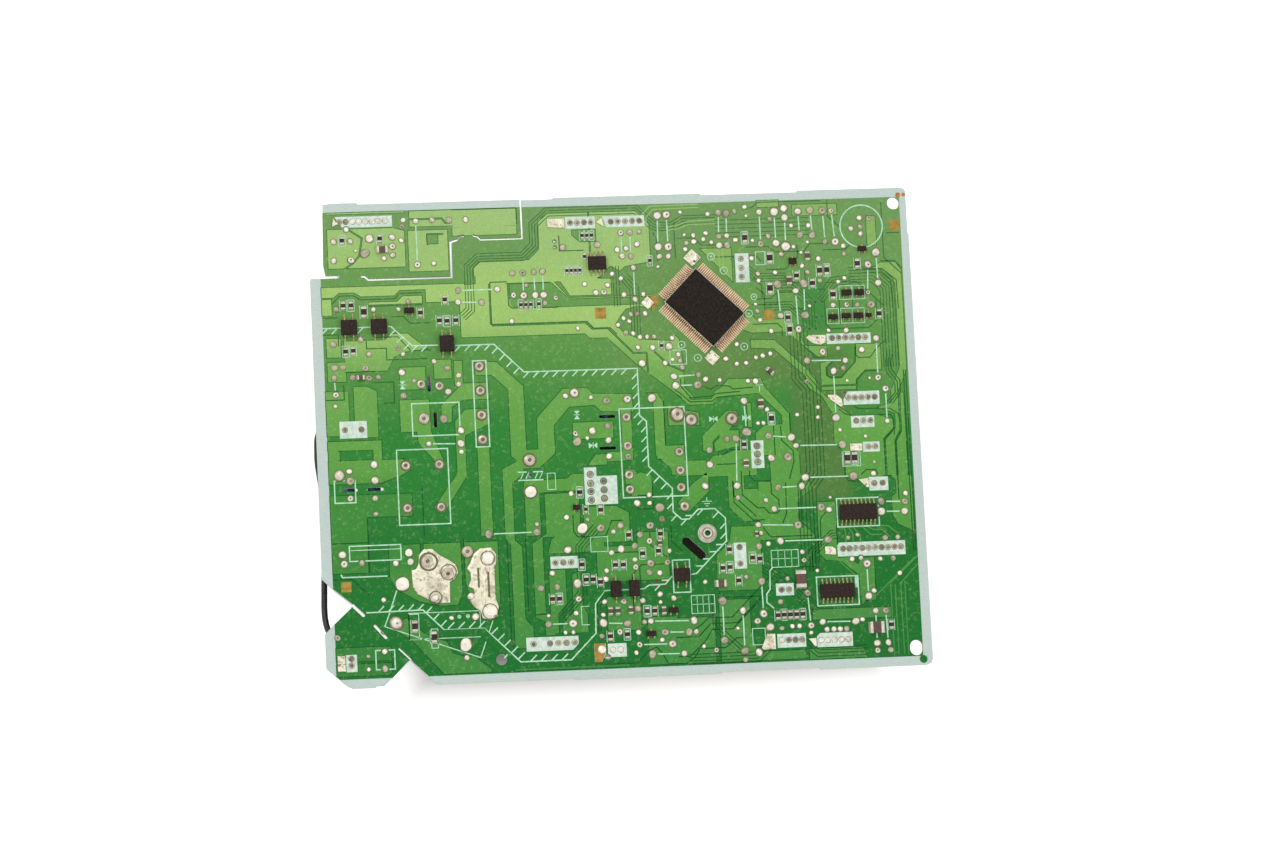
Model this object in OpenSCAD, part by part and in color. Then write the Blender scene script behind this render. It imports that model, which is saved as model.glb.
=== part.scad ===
// Control board: a single-sided circuit board seen on its solder side.
// The surface-mount parts and solder joints face up, the leaded parts hang below.
// Layout positions [u, v] are millimetres from the board's lower left corner.

/* [Board] */
// Width of the circuit board, which widens its plain right margin
board_w = 185; // [184.8:0.1:188]
// Height of the circuit board, which grows its plain top margin
board_h = 148; // [148:0.1:150]
// Thickness of the laminate
board_t = 1.6; // [1.2:0.1:2]
// Height of the tallest parts below the board, on which it lies
stand_h = 30; // [28:1:36]
// Diameter of the round fixing hole, upper right
fixing_hole_d = 3.8; // [3.2:0.1:4.2]
// Diameter of the drilled lead holes
lead_hole_d = 1; // [0.9:0.1:1.2]

/* [Coatings] */
// Thickness of the green solder resist
resist_t = 0.06; // [0.04:0.01:0.1]
// Thickness of the printed legend
print_t = 0.04; // [0.03:0.01:0.08]
// Width of a printed line
print_w = 0.4; // [0.3:0.05:0.5]

/* [Microcontroller] */
// Long side of the package body
mcu_l = 20; // [19.8:0.1:20.2]
// Short side of the package body
mcu_w = 14; // [13.8:0.1:14.2]
// Height of the package body
mcu_h = 2.7; // [2:0.1:3]
// Lead pitch
mcu_pitch = 0.65; // [0.6:0.01:0.65]
// Reach of a lead from the body to its tip
mcu_reach = 1.9; // [1.6:0.1:2.2]

/* [Tall parts] */
// Diameter of the main capacitor
main_cap_d = 25.4; // [22:0.1:26]
// Length of the relay body
relay_l = 30.4; // [29:0.1:31]
// Width of the relay body
relay_w = 16; // [15.5:0.1:16]
// Height of the relay body
relay_h = 24; // [20:0.5:26]
// Diameter of the varistor discs
varistor_d = 10; // [7:0.5:11]

/* [Connectors] */
// Height of a header housing
header_h = 6; // [5:0.5:8]
// Width of a header housing across its row of pins
header_w = 4; // [3.8:0.1:4.2]
// Wall of a header housing
header_wall = 0.6; // [0.5:0.1:0.8]
// Thickness of a square header pin
header_pin = 0.5; // [0.4:0.1:0.6]

/* [Lead] */
// Diameter of the black insulated lead
lead_d = 2; // [1.6:0.1:2.4]

/* [Hidden] */
$fn = 32;
eps = 0.01;
board_z = stand_h;
top_z = board_z + board_t;
coat_z = top_z + resist_t;
rim_w = 3.1;

// Outline of the board, from the lower left corner of the corner tab, anticlockwise
outline = [[0.2, 16.7], [0.2, 6.4], [5.2, 1.7], [6.6, 0.6], [8, 0], [14.8, 0], [15.2, 0.5], [17.5, 0.5],
    [24.9, 7.3], [25.7, 7.9], [26.3, 7], [32.7, 0.7], [34, 0.3], [75, 0.3], [75.4, 0], [120, 0],
    [120.5, 0.5], [150, 0.5], [150.4, 0], [board_w - 1.8, 0], [board_w - 0.5, 0.5], [board_w, 1.8],
    [board_w, 133.2], [board_w - 0.3, 133.6], [board_w - 0.3, 146.4], [board_w - 0.7, 147.3],
    [board_w - 1.7, 147.7], [151, 147.7], [150.5, 147.2], [121.2, 147.2], [120.7, 147.7], [75.5, 147.7],
    [75, 147.3], [66, 147.3], [64.8, 147.5], [15.6, 147.5], [15.1, board_h], [8, board_h], [4.9, 147.7],
    [4.3, 129], [4.9, 125.8], [8.5, 125.8], [8.5, 125], [0.5, 125], [0.2, 124.6], [0, 33.4], [3.9, 29.4],
    [9, 25.2], [8.5, 24.4], [2.9, 19.4]];
// Where the resist ends, inside the bare rim
resist_field = [[3.2, 19.6], [3.2, 3.7], [4.2, 2.8], [20, 2.8], [24.7, 7.5], [25.7, 8.1], [26.5, 7.1],
    [30.9, 2.8], [182, 2.8], [182.3, 72], [182.6, 144.8], [120, 144.8], [66, 145.1], [64.8, 145.2],
    [4.7, 145.2], [4.4, 129], [4.9, 125.9], [9, 125.7], [9, 124.9], [3.4, 124.8], [3.2, 30.3], [9, 25.4],
    [8.4, 24.3]];

// Slits and slots right through the board: [points, width]
slots = [[[[9, 25], [12, 22]], 1], [[[15.4, 18.6], [18.5, 15]], 0.9], [[[22.4, 11.4], [25.6, 8.2]], 0.6],
    [[[16, 125.3], [16.8, 125.2], [17.9, 124.2], [43.3, 124.2], [43.4, 135], [45.2, 135.6], [46.3, 136.6],
    [47.3, 136.8]], 0.7], [[[50.5, 136.8], [51.8, 136.4], [52.6, 135.5], [65.4, 135.5], [65.4, 149]], 0.6],
    [[[7.9, 60.1], [11.4, 60.1]], 1.1], [[[15.2, 60.1], [19.3, 60.1]], 1.1], [[[34.9, 89.8], [34.9, 93.7]],
    1.1], [[[36.4, 78.8], [36.4, 82.7]], 1.1], [[[86.8, 79.8], [90.8, 79.8]], 1.1], [[[86.5, 70.1],
    [90.6, 70.1]], 1.1], [[[111.2, 40.6], [115.6, 36.3]], 2.8]];
// Plain holes through the board: [u, v, diameter]
plain_holes = [[53.1, 6.9, 3.3], [64.3, 62.5, 1.3], [85.4, 6.4, 1.8], [75.2, 134.2, 1.1], [75.2, 132.4, 1.1],
    [161.9, 84.4, 1.4], [154.8, 108.2, 0.7], [156.5, 108.3, 0.7], [152.5, 104.6, 0.7], [154.5, 104.5, 0.7],
    [154.7, 112.8, 0.8], [156.7, 112.8, 0.8]];
fixing_hole = [180.7, 142.9];
oblong_hole = [180.1, 5.4];
oblong_w = 4;
oblong_h = 4.7;

// Leaded parts, pin by pin: [u, v, radius of the solder joint, ...]
jumpers = [ [50.9, 45.1, 1.3, 65.6, 45.2, 1.2], [67.8, 17, 1, 75.3, 17, 1.4],
    [84.5, 16.7, 1.4, 91.9, 16.3, 1.2], [99, 16.7, 1, 112.2, 16.4, 1.3], [103.2, 13.2, 1.2, 110.5, 13, 1.2],
    [95.2, 9.7, 1, 105.3, 9.6, 1.3], [99, 6.7, 1.3, 108.7, 6.5, 1], [121.2, 22, 1.3, 121.2, 10, 1.2],
    [127.3, 18.8, 1.2, 127.3, 6.5, 1.3], [133.5, 27.5, 1.2, 133.6, 17.6, 1.3],
    [147.4, 23.4, 1.1, 148, 13.4, 1.1], [128, 71.5, 1.2, 127.5, 57, 1.2], [138, 72, 1.1, 145, 71.3, 1.3],
    [140.1, 56, 1, 147.4, 56.2, 1.2], [138.5, 49.5, 1, 153, 49.5, 1.2], [133.4, 44.8, 1, 145.6, 44.3, 1.2],
    [139.9, 39.6, 1.2, 154.7, 39.5, 1.2], [146.3, 68.7, 1, 160.7, 68.5, 1.3],
    [99.1, 125.3, 1, 99.1, 115.5, 1], [107.2, 141.2, 1.3, 107, 131.5, 1.3],
    [110, 141.4, 1.3, 110.1, 131.4, 1.4], [95.7, 136.2, 1, 95.8, 129, 1], [98.5, 136.3, 1, 98.5, 128.8, 1],
    [65, 124.8, 1, 65, 117.8, 1.2], [68.4, 125, 1, 68.5, 117.8, 1.2], [71.1, 125, 1, 71.1, 117.8, 1.2],
    [45, 120, 1, 57, 120, 1], [44.8, 116.4, 1, 52, 116.1, 1], [34, 73.3, 0.9, 43.7, 73, 1.3],
    [6.2, 94.3, 1, 6.5, 89.2, 1], [126.1, 141.5, 1, 125.9, 134.2, 0.9],
    [128.5, 141.3, 1.2, 128.4, 134.3, 0.9], [138.8, 141.3, 1, 138.8, 131.4, 1.1],
    [143.4, 141.3, 1.4, 143.5, 131.5, 1.3], [146.6, 139.4, 1.2, 146.5, 130.4, 1.6],
    [150.8, 141.2, 1.2, 151, 133.8, 1.1], [154.6, 141.4, 1.2, 155, 133.8, 1.2],
    [158.5, 141.2, 1.2, 158.8, 131.6, 0.9], [161.2, 141.1, 0.8, 161.9, 131.4, 1.3],
    [174.4, 127.7, 1.4, 174.6, 118.2, 1.1], [171.7, 124, 1.3, 171.2, 115.3, 0.8],
    [143.3, 118.7, 1.3, 143.8, 109, 1.1], [173, 101, 1.1, 172.9, 88.8, 1.1],
    [159.2, 91.3, 1.2, 159.2, 76.8, 1.3], [151.2, 94.8, 1.1, 163, 94.5, 1],
    [175, 85.3, 1.1, 175, 75.3, 0.8], [166.2, 31.6, 1.3, 166.2, 21.7, 1.2],
    [151.6, 14.4, 1.1, 161.8, 14.2, 1.3], [168.1, 17.1, 1, 168.1, 7.3, 1.2],
    [171.2, 17.1, 1, 171.5, 7.3, 1.1], [148.6, 58.8, 1.3, 163.6, 58.7, 1.3],
    [171.7, 50.6, 1.2, 179, 50.3, 1.1], [171.5, 47.5, 1.4, 178.8, 47.3, 1.2],
    [110.3, 88.5, 1.3, 117, 88.5, 1.3], [109.9, 91.3, 1.2, 117.5, 91.6, 0.9],
    [131, 83, 1.2, 131.3, 73.4, 1.5], [151.5, 118.7, 1.35, 151.3, 108.9, 1.3],
    [148.8, 116.5, 1.1, 149.1, 104.6, 1.2], [33, 141.8, 1, 33, 128.3, 1.1]];
// [u1, v1, r1, u2, v2, r2, diameter, height]
electrolytics = [
    [18.7, 136.8, 1.4, 17.1, 132.3, 1.5, 7, 11], [43.2, 141.8, 1, 48.3, 141.8, 1, 8, 11],
    [89.6, 118, 1, 87.2, 118, 1, 5, 11], [66, 28, 1, 71, 28.2, 1, 10, 16],
    [119.6, 68.3, 1, 119.5, 63.8, 1.2, 12.5, 20], [138.5, 65.2, 1.2, 143.6, 65.3, 1.3, 8, 12],
    [168.1, 5, 0.9, 172.1, 5, 0.9, 6, 11], [160.2, 111.7, 0.9, 164.4, 111.7, 0.9, 6, 11],
    [167.7, 111.6, 0.9, 171.9, 111.5, 1.3, 6, 11], [146.5, 36, 0.8, 146.9, 33.4, 0.8, 5, 11],
    [103.9, 47.8, 0.9, 100.2, 45.9, 1.2, 6, 11], [107.2, 128.5, 1, 110, 128.5, 1, 5, 11],
    [131.6, 15.4, 1.1, 135.4, 13.4, 1.4, 6.3, 11]];
// [u1, v1, r1, u2, v2, r2]
films = [[7.8, 136.2, 1, 12.8, 136.2, 1], [7.6, 130.3, 1, 12.8, 130.3, 1.2], [11.8, 94.3, 0.9, 16.8, 94, 1],
    [79.5, 45.7, 1.8, 85.1, 45.7, 1.2], [77.2, 29, 1.5, 77.3, 24.3, 1], [83.9, 12.8, 0.8, 89.4, 13.8, 1],
    [91, 23, 1, 96.8, 23.1, 1]];
discs = [[32.5, 91.6, 1.4, 38, 90.9, 1.4], [103.5, 51.2, 1.4, 111.1, 51.3, 1.5],
    [88.8, 84.6, 1.2, 88.8, 76.9, 1], [95.1, 84.8, 1.3, 102.7, 84.9, 1.5], [26, 102.9, 0.8, 27.4, 101, 0.8],
    [29.2, 142.2, 0.9, 28.7, 140.2, 0.8], [44, 93.9, 0.9, 43.9, 91.2, 0.9], [95, 35.6, 0.9, 95.2, 33.3, 1],
    [99.8, 34.3, 1.2, 99.3, 31.6, 1], [105, 34.4, 0.9, 105.7, 37.9, 0.8], [170.4, 33, 0.8, 174.5, 33, 0.8],
    [99.8, 41.1, 1, 95.2, 39.8, 1], [88, 38, 0.9, 91, 39, 1.2], [74.8, 116.7, 0.8, 71.4, 115.3, 0.8],
    [156.2, 97.3, 1.2, 161, 98.3, 0.8]];
resistors = [[6.4, 104.6, 1, 6.4, 97.5, 1.1], [9, 97.5, 0.9, 15.8, 97, 1], [19, 114.9, 0.9, 26.6, 114.8, 0.8],
    [40.6, 89, 1.1, 40.6, 96.3, 1], [61.8, 124.8, 1, 61.9, 118, 1], [77.7, 132.3, 1.1, 88.3, 132.8, 1.1],
    [112.7, 13, 0.9, 118.6, 7.1, 0.8], [153.7, 80.3, 0.7, 150.8, 88.3, 0.7]];
diodes = [[27, 88.3, 1, 26.8, 95.4, 1.2], [79, 87.3, 1.5, 78.8, 74.8, 1], [79.2, 72.3, 1.4, 88.8, 72.4, 1.1],
    [114.5, 77.8, 1.8, 127, 77.7, 1.8]];
// Pins of the big parts: [u, v, radius of the solder joint]
capacitor_pins = [[64.4, 67.2, 1.95], [64.3, 57.5, 1.95]];
rectifier_pins = [[50.4, 96.5, 1.5], [50.4, 89, 1.5], [50.4, 81.5, 1.5], [50.4, 74, 1.5]];
filter_pins = [[26.7, 66.9, 1.4], [36.9, 66.9, 1.4], [26.7, 53.9, 1.4], [36.9, 53.9, 1.4]];
ntc_pins = [[33.4, 81, 1.3], [38.9, 80.8, 1.3]];
transformer_pins = [[94.6, 79.3, 1.4], [94.6, 70.5, 1.4], [94.6, 67.2, 1], [94.6, 61.6, 1.4],
    [94.6, 57.1, 1.4], [110.3, 79.6, 2.1], [110.3, 68.1, 1.4], [110.3, 62.4, 1.4], [110.3, 57.2, 1.4]];
relay_pins = [[24.2, 31, 2.3], [21.8, 19.2, 2.2], [42.5, 11.8, 2.2], [50.3, 21.6, 2.2]];
varistor_pins = [[9.6, 57.5, 1], [9.7, 62.8, 1.3], [17.1, 57.3, 1], [17.2, 62.7, 1.3]];
fuse_pins = [[6.4, 40.5, 1.3], [6.9, 37.6, 1.2], [26.5, 40.4, 1.3], [26.9, 37.6, 1.2]];
tab_pins = [[44.2, 40, 1.9], [50.3, 37.8, 2], [38, 33.5, 2.1], [32, 37.5, 2.1]];
buzzer_pins = [[167, 135.3, 0.9], [172.8, 138.4, 0.8]];
resonator_pins = [[125.9, 131.4, 1.1], [128.4, 131.4, 1.1]];
regulator_pins = [[134.3, 69, 1], [134.3, 66.5, 1], [134.3, 64.1, 1]];
power_ic_pins = [[82.7, 62.2, 1], [82.7, 59.4, 1], [82.7, 56.9, 1], [82.7, 54.3, 1],
    [86.7, 60, 1], [86.7, 57.3, 1], [86.7, 54.7, 1]];
transistor_pins = [[25.6, 137, 1.1], [25.6, 134.2, 1.1], [25.6, 131.5, 1]];
lead_joints = [[6.2, 85.7, 0.7], [3.9, 15.4, 1]];
// Tinned test lands, with no lead
test_lands = [[72.8, 14.3, 0.7], [75.2, 14.3, 0.7], [158.4, 103.9, 0.7], [163.8, 103.8, 0.9],
    [88.7, 67.5, 1], [172.3, 39.4, 0.9], [176.2, 39.4, 0.8], [161.7, 33.2, 0.9], [164.5, 33.5, 0.8],
    [100.5, 132.5, 0.9], [97.1, 131.3, 0.9], [94.3, 131, 0.9], [12.9, 9.5, 0.6], [12.9, 5.6, 0.7],
    [17.9, 10.8, 1], [17.8, 5.7, 1.1], [18.3, 26.4, 0.8], [11.7, 139.8, 0.9], [28.4, 136, 0.9],
    [14.3, 133.2, 0.5], [38, 142, 0.9], [38, 128.5, 0.8], [22.9, 130.6, 0.8], [7.7, 115.3, 0.9],
    [29.7, 117, 0.9], [14.7, 106, 1], [17, 101.3, 0.9], [19.7, 94.2, 0.9], [30.4, 92.7, 0.7],
    [36.7, 98.5, 0.8], [31.9, 81, 0.8], [44, 77, 1.2], [43.8, 70.5, 0.8], [6.5, 64.5, 1.7], [9.6, 65.7, 1],
    [17.2, 67.5, 1.2], [17, 52.5, 0.8], [12.2, 37.8, 1], [22.4, 37.3, 1], [33.7, 26.3, 1.5],
    [38.5, 20.1, 0.8], [45.8, 20.2, 1.2], [42.6, 7.9, 0.9], [44.7, 26.4, 1.2], [65.7, 47.6, 0.7],
    [69.7, 32.4, 0.9], [68, 19.6, 0.6], [76.3, 20, 0.8], [74.7, 39.4, 1.3], [65.9, 120.9, 0.7],
    [61, 110, 0.8], [92.3, 123.6, 0.8], [83.8, 120.7, 0.8], [90.9, 120.2, 0.9], [95, 122.1, 0.8],
    [95.8, 117, 0.9], [101.7, 117, 0.8], [101.4, 136.4, 0.8], [106.7, 125.4, 0.6], [95.3, 109.8, 0.8],
    [93.5, 107.7, 0.8], [97, 108.8, 0.7], [97.5, 111, 0.8], [99.5, 111, 0.8], [101.9, 111, 0.9],
    [95.8, 105.3, 0.8], [98, 105, 0.8], [100, 103.8, 0.8], [102.2, 103.8, 0.8], [104.4, 103.8, 0.8],
    [99.3, 100.6, 0.8], [103.8, 100.4, 0.9], [108.8, 100.6, 1.2], [109.9, 103.2, 0.8], [107.3, 95.5, 0.9],
    [100.3, 95.7, 1.2], [111.5, 98, 0.8], [109.7, 96.6, 0.7], [111.9, 96, 0.8], [112.6, 94, 0.8],
    [81.1, 107.1, 0.7], [76.3, 86.4, 0.9], [84, 85.7, 0.7], [84, 75.5, 1.2], [82.3, 73.3, 0.7],
    [96.6, 52.8, 1.1], [100.4, 52.7, 0.8], [100.4, 55.2, 0.9], [74.8, 49.3, 0.9], [81.2, 48.4, 0.7],
    [76.6, 56.5, 0.9], [91.2, 46.2, 1.1], [88.9, 44.4, 0.8], [97, 43.2, 1], [86.3, 32.6, 0.8],
    [102.4, 31.3, 0.9], [86, 30, 1], [85.2, 23.2, 0.9], [102.2, 24.8, 1], [106.3, 23.4, 0.9],
    [102.2, 22.4, 0.7], [95.2, 20.7, 1.1], [84.6, 19.2, 0.8], [97, 16.5, 0.8], [95.1, 13.5, 0.9],
    [102.2, 10.9, 0.8], [94.1, 7.3, 0.8], [114.8, 8.4, 0.7], [127.4, 3.9, 0.9], [125.5, 13.5, 0.6],
    [131.6, 5.9, 1.3], [128.9, 29, 0.8], [116.2, 28, 0.8], [141.5, 28, 0.7], [139, 21, 0.9],
    [142.2, 13.4, 0.8], [144.4, 13.4, 0.8], [139, 12.9, 0.8], [147.9, 11.2, 0.7], [133.3, 38.2, 1],
    [134.1, 42.2, 0.8], [136.2, 38.9, 0.8], [117.7, 57.3, 1.2], [125.2, 71.5, 0.9], [127.6, 53.4, 0.8],
    [136.2, 52.2, 0.8], [150.8, 30.1, 0.6], [176.2, 28.4, 0.8], [167.9, 23.3, 0.9], [152.8, 12, 0.9],
    [154.9, 12, 0.9], [156.9, 12, 0.9], [158.9, 12, 0.9], [163.9, 14.6, 0.8], [155.4, 48.6, 1],
    [156, 52.4, 0.5], [179.3, 52.8, 0.9], [163.8, 40.6, 0.7], [160.9, 39.8, 0.7], [169.8, 59.3, 0.9],
    [170.3, 62.8, 0.6], [168, 70.8, 0.6], [160.2, 73, 0.7], [147.2, 78.2, 0.7], [153.5, 77.2, 0.7],
    [162.3, 92.1, 0.8], [163.3, 88.2, 0.5], [170.3, 88.8, 0.5], [168.3, 97.6, 1], [119.6, 90.1, 1],
    [132.6, 89.1, 0.8], [134.9, 89, 1], [123.9, 89.7, 0.7], [129.7, 100.6, 0.8], [126.1, 96.2, 0.9],
    [137.5, 96.8, 0.8], [139.9, 97.3, 0.8], [135.4, 96.3, 0.7], [129.4, 94.5, 0.8], [132.3, 94.7, 0.8],
    [138, 80.1, 0.8], [135, 76, 0.7], [136.7, 76, 0.7], [140.6, 104.3, 0.8], [136.6, 110.6, 0.8],
    [137.3, 107.8, 0.8], [136.2, 112.8, 0.6], [137.4, 122.2, 0.8], [137.5, 120, 0.7], [135.7, 127, 0.8],
    [142.7, 122.4, 0.8], [145, 128, 0.9], [148.9, 130.2, 0.7], [136.3, 132.6, 0.6], [131, 132.9, 0.9],
    [121.1, 133.4, 0.8], [123.5, 132.4, 0.7], [121.9, 135.3, 0.8], [118, 134.7, 0.8], [118.1, 132.8, 0.9],
    [115.2, 135, 0.6], [115.8, 132.4, 0.8], [115.3, 130.5, 0.8], [114.3, 142, 0.7], [122.8, 141.2, 0.8],
    [131.1, 141.8, 0.8], [134.3, 143, 0.8], [134.7, 140.3, 0.5], [146.5, 142.2, 1.2], [142, 139, 0.8],
    [148.5, 136.8, 0.7], [153.8, 136.7, 0.8], [141.2, 133.8, 0.9], [153.3, 131.6, 0.5], [164.4, 130, 0.8],
    [164.5, 127.6, 0.8], [169.8, 138.5, 0.9], [169.9, 135.8, 0.8], [169.9, 133.6, 0.9], [151.1, 128.4, 0.6],
    [151.2, 124.2, 0.9], [156.4, 126.2, 0.9], [152.8, 122.2, 0.9], [156.5, 119.4, 0.8], [164.2, 120, 0.7],
    [162.2, 118.9, 0.7], [152.9, 111.7, 0.6]];

function pin_pairs(rows) = [for (r = rows, k = [0, 3]) [r[k], r[k + 1], r[k + 2]]];
leaded_joints = concat(pin_pairs(jumpers), pin_pairs(electrolytics), pin_pairs(films), pin_pairs(discs),
    pin_pairs(resistors), pin_pairs(diodes), capacitor_pins, rectifier_pins, filter_pins, ntc_pins,
    transformer_pins, relay_pins, varistor_pins, fuse_pins, tab_pins, buzzer_pins, resonator_pins,
    transistor_pins, lead_joints);

// Headers: [first pin u, v, step u, step v, number of pins]
headers_2 = [[7.8, 7, 0, 2, 2], [87, 8.5, 2.4, 0, 2], [139.5, 24.7, 2.3, 0, 2], [169.9, 56.3, 2.6, 0, 2],
    [168.8, 67.6, 2, 0, 2]];
headers_3 = [[70.8, 35.6, 2.4, 0, 3], [165.4, 75.7, 2.2, 0, 3], [132.4, 121.4, 0, 2.8, 3]];
headers_4 = [[80.3, 139.8, 2.13, 0, 4], [138.8, 9.3, 2.07, 0, 4]];
headers_5 = [[92.8, 139.8, 2.2, 0, 5], [150.8, 8.8, 2.1, 0, 5], [163.3, 82.9, 2.05, 0, 5]];
headers_6 = [[159.3, 101.5, 2.06, 0, 6], [63, 11.2, 2.5, 0, 6]];
header_8 = [9.7, 142.2, 2, 0, 8];
header_10 = [159.1, 36.5, 1.99, 0, 10];
header_mains = [8.8, 78.4, 5, 0, 2];
header_ntc = [127.3, 33.2, 0, 5, 2];
all_headers = concat(headers_2, headers_3, headers_4, headers_5, headers_6,
    [header_8, header_10, header_mains, header_ntc]);
blank_pin = [65.5, 11.2];
function header_pins(h) = [for (i = [0:h[4] - 1]) let (p = [h[0] + i * h[2], h[1] + i * h[3]])
    if (norm(p - blank_pin) > 1) p];
header_joints = [for (h = all_headers, p = header_pins(h)) p];
connector_r = 0.8;
clearing_r = 0.95;
block_pins = [for (p = concat(regulator_pins, power_ic_pins)) [p.x, p.y]];

// Chip parts: [u, v, angle of the long axis from v, length, width]
resistor_chips = [[10.3, 136.4, 0, 2, 1.2], [21.8, 136.7, 0, 2, 1.2], [9.8, 116.4, 0, 2, 1.2],
    [12.2, 116.4, 0, 2, 1.2], [16, 114.3, 0, 3, 1.5], [33.2, 113.5, 0, 2, 1.2], [10, 102.3, 0, 2, 1.2],
    [12.3, 102.5, 0, 2, 1.2], [38.9, 110.9, 0, 2, 1.2], [41.2, 110.7, 0, 2, 1.2], [43.9, 110.8, 0, 2, 1.2],
    [40.8, 117.3, 0, 2, 1.2], [64, 114.9, 0, 1.6, 0.8], [65.5, 114.9, 0, 1.6, 0.8],
    [67, 114.9, 0, 1.6, 0.8], [69.5, 115, 0, 1.6, 0.8], [83.8, 135.7, 0, 1.6, 0.8],
    [85.2, 135.7, 0, 1.6, 0.8], [86.6, 135.7, 0, 1.6, 0.8], [78.6, 125, 0, 1.6, 0.8],
    [79.9, 125, 0, 1.6, 0.8], [81.2, 125, 0, 1.6, 0.8], [82.5, 125, 0, 1.6, 0.8],
    [84.2, 129.2, 0, 1.6, 0.8], [104.2, 127.3, 0, 1.6, 0.8], [106.5, 100.9, 0, 1.6, 0.8],
    [69.4, 24.6, 0, 2, 1.2], [71.5, 24.6, 0, 2, 1.2], [27.3, 18, 0, 3, 1.5], [33, 14.5, 0, 3, 1.5],
    [78.8, 34.7, 0, 2, 1.2], [89, 34.2, 0, 2, 1.2], [91.4, 34.2, 0, 2, 1.2], [79.9, 30.1, 0, 2, 1.2],
    [82, 30.1, 0, 2, 1.2], [84.2, 29.2, 0, 2, 1.2], [98, 19.8, 0, 2, 1.2], [100.3, 19.8, 0, 2, 1.2],
    [86.4, 12.6, 0, 2, 1.2], [91.6, 13, 0, 2, 1.2], [80.8, 51.5, 0, 1.6, 0.8], [85.3, 51.2, 0, 2, 1.2],
    [79.2, 56.8, 0, 2, 1.2], [93.5, 43.2, 0, 2, 1.2], [103.2, 43.2, 0, 2, 1.2], [97.5, 37.4, 0, 2, 1.2],
    [102.4, 38, 0, 2, 1.2], [121.8, 32, 0, 2, 1.2], [124, 32.2, 0, 2, 1.2], [124.1, 37.6, 0, 2, 1.2],
    [126.5, 28, 0, 2, 1.2], [131.1, 34.8, 0, 2, 1.2], [133.3, 34.4, 0, 2, 1.2], [138, 16.9, 0, 2, 1.2],
    [139.9, 17, 0, 2, 1.2], [141.8, 17, 0, 2, 1.2], [143.7, 17, 0, 2, 1.2], [145.6, 17, 0, 2, 1.2],
    [130.3, 69.6, 0, 2, 1.2], [172.7, 12.7, 0, 2, 1.2], [133.9, 133.5, 0, 2.6, 1.3],
    [141.3, 127, 0, 3, 1.5], [140.9, 117.6, 0, 3, 1.4], [146, 108.3, 0, 2, 1.2],
    [146.3, 104.6, 0, 2.6, 1.3], [162, 64.3, 0, 3, 1.5], [164.2, 64.3, 0, 3, 1.5],
    [154.1, 118.7, 0, 2.2, 1.3], [156.6, 122.6, 0, 2.6, 1.3], [158.8, 122.7, 0, 2.6, 1.3],
    [168.4, 124.4, 0, 2.4, 1.3], [160.3, 115, 0, 2.4, 1.4], [139.2, 77.3, 0, 2.6, 1.3],
    [174.3, 108.6, 0, 2.2, 1.2], [149.3, 121.2, 0, 2, 1.2]];
capacitor_chips = [[22.4, 133.3, 90, 3.2, 1.8], [86.8, 20.2, 0, 2, 1.2], [89, 20.2, 0, 2, 1.2],
    [93, 20.3, 0, 2, 1.2], [103.1, 19.8, 0, 2, 1.2], [102.9, 40.4, 0, 1.6, 1], [121, 27.3, 90, 3, 2],
    [130.6, 63.8, 0, 2, 1.4], [132.7, 42, 0, 1.6, 0.8], [145.6, 27.7, 0, 5, 3], [168.2, 12, 90, 4.2, 3.4],
    [136.1, 82, 0, 2.4, 1.5], [146.9, 119.8, 0, 2.4, 1.4], [153, 127.2, 0, 2.4, 1.2],
    [139.5, 91.9, 45, 2.2, 1.2], [14.25, 94.2, 90, 2, 1.2]];
// Three-legged transistor packages: [u, v, angle, body length, body width]
transistors = [[29.8, 114.3, 0, 3, 1.8], [106.1, 19.8, 0, 2.9, 1.6], [98.9, 12.9, 0, 3, 1.6],
    [78, 52.2, 0, 2.2, 1.6], [148.3, 125.7, 0, 2.4, 2], [159.9, 108, 0, 2.9, 1.6], [164, 108.2, 0, 2.9, 1.6],
    [167.8, 108.2, 0, 2.9, 1.8], [171, 108.2, 0, 1.8, 1.2], [164.5, 115.4, 0, 3.1, 1.9],
    [168.5, 115.4, 0, 3, 1.9], [170.1, 128.9, 0, 2.8, 1.6]];

// Small-outline packages: [u, v, body length, body width, leads a side, pitch, lead row is along v]
sop_upper = [164.3, 47.6, 11.4, 4.8, 9, 1.27];
sop_lower = [156.6, 23.7, 10.6, 4.3, 8, 1.27];
sop_memory = [87.9, 127, 5.6, 4.2, 4, 1.27];
couplers = [[11.3, 109.6, 4.9, 4.6, 2, 2.54], [20.4, 109.6, 4.9, 4.6, 2, 2.54],
    [40.8, 103.7, 4.4, 5, 2, 2.54], [88.8, 26.9, 3.3, 4.9, 1, 1.27], [94.4, 26.9, 3.1, 4.9, 1, 1.27],
    [109.1, 30.4, 5, 4, 2, 2.54]];

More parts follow.
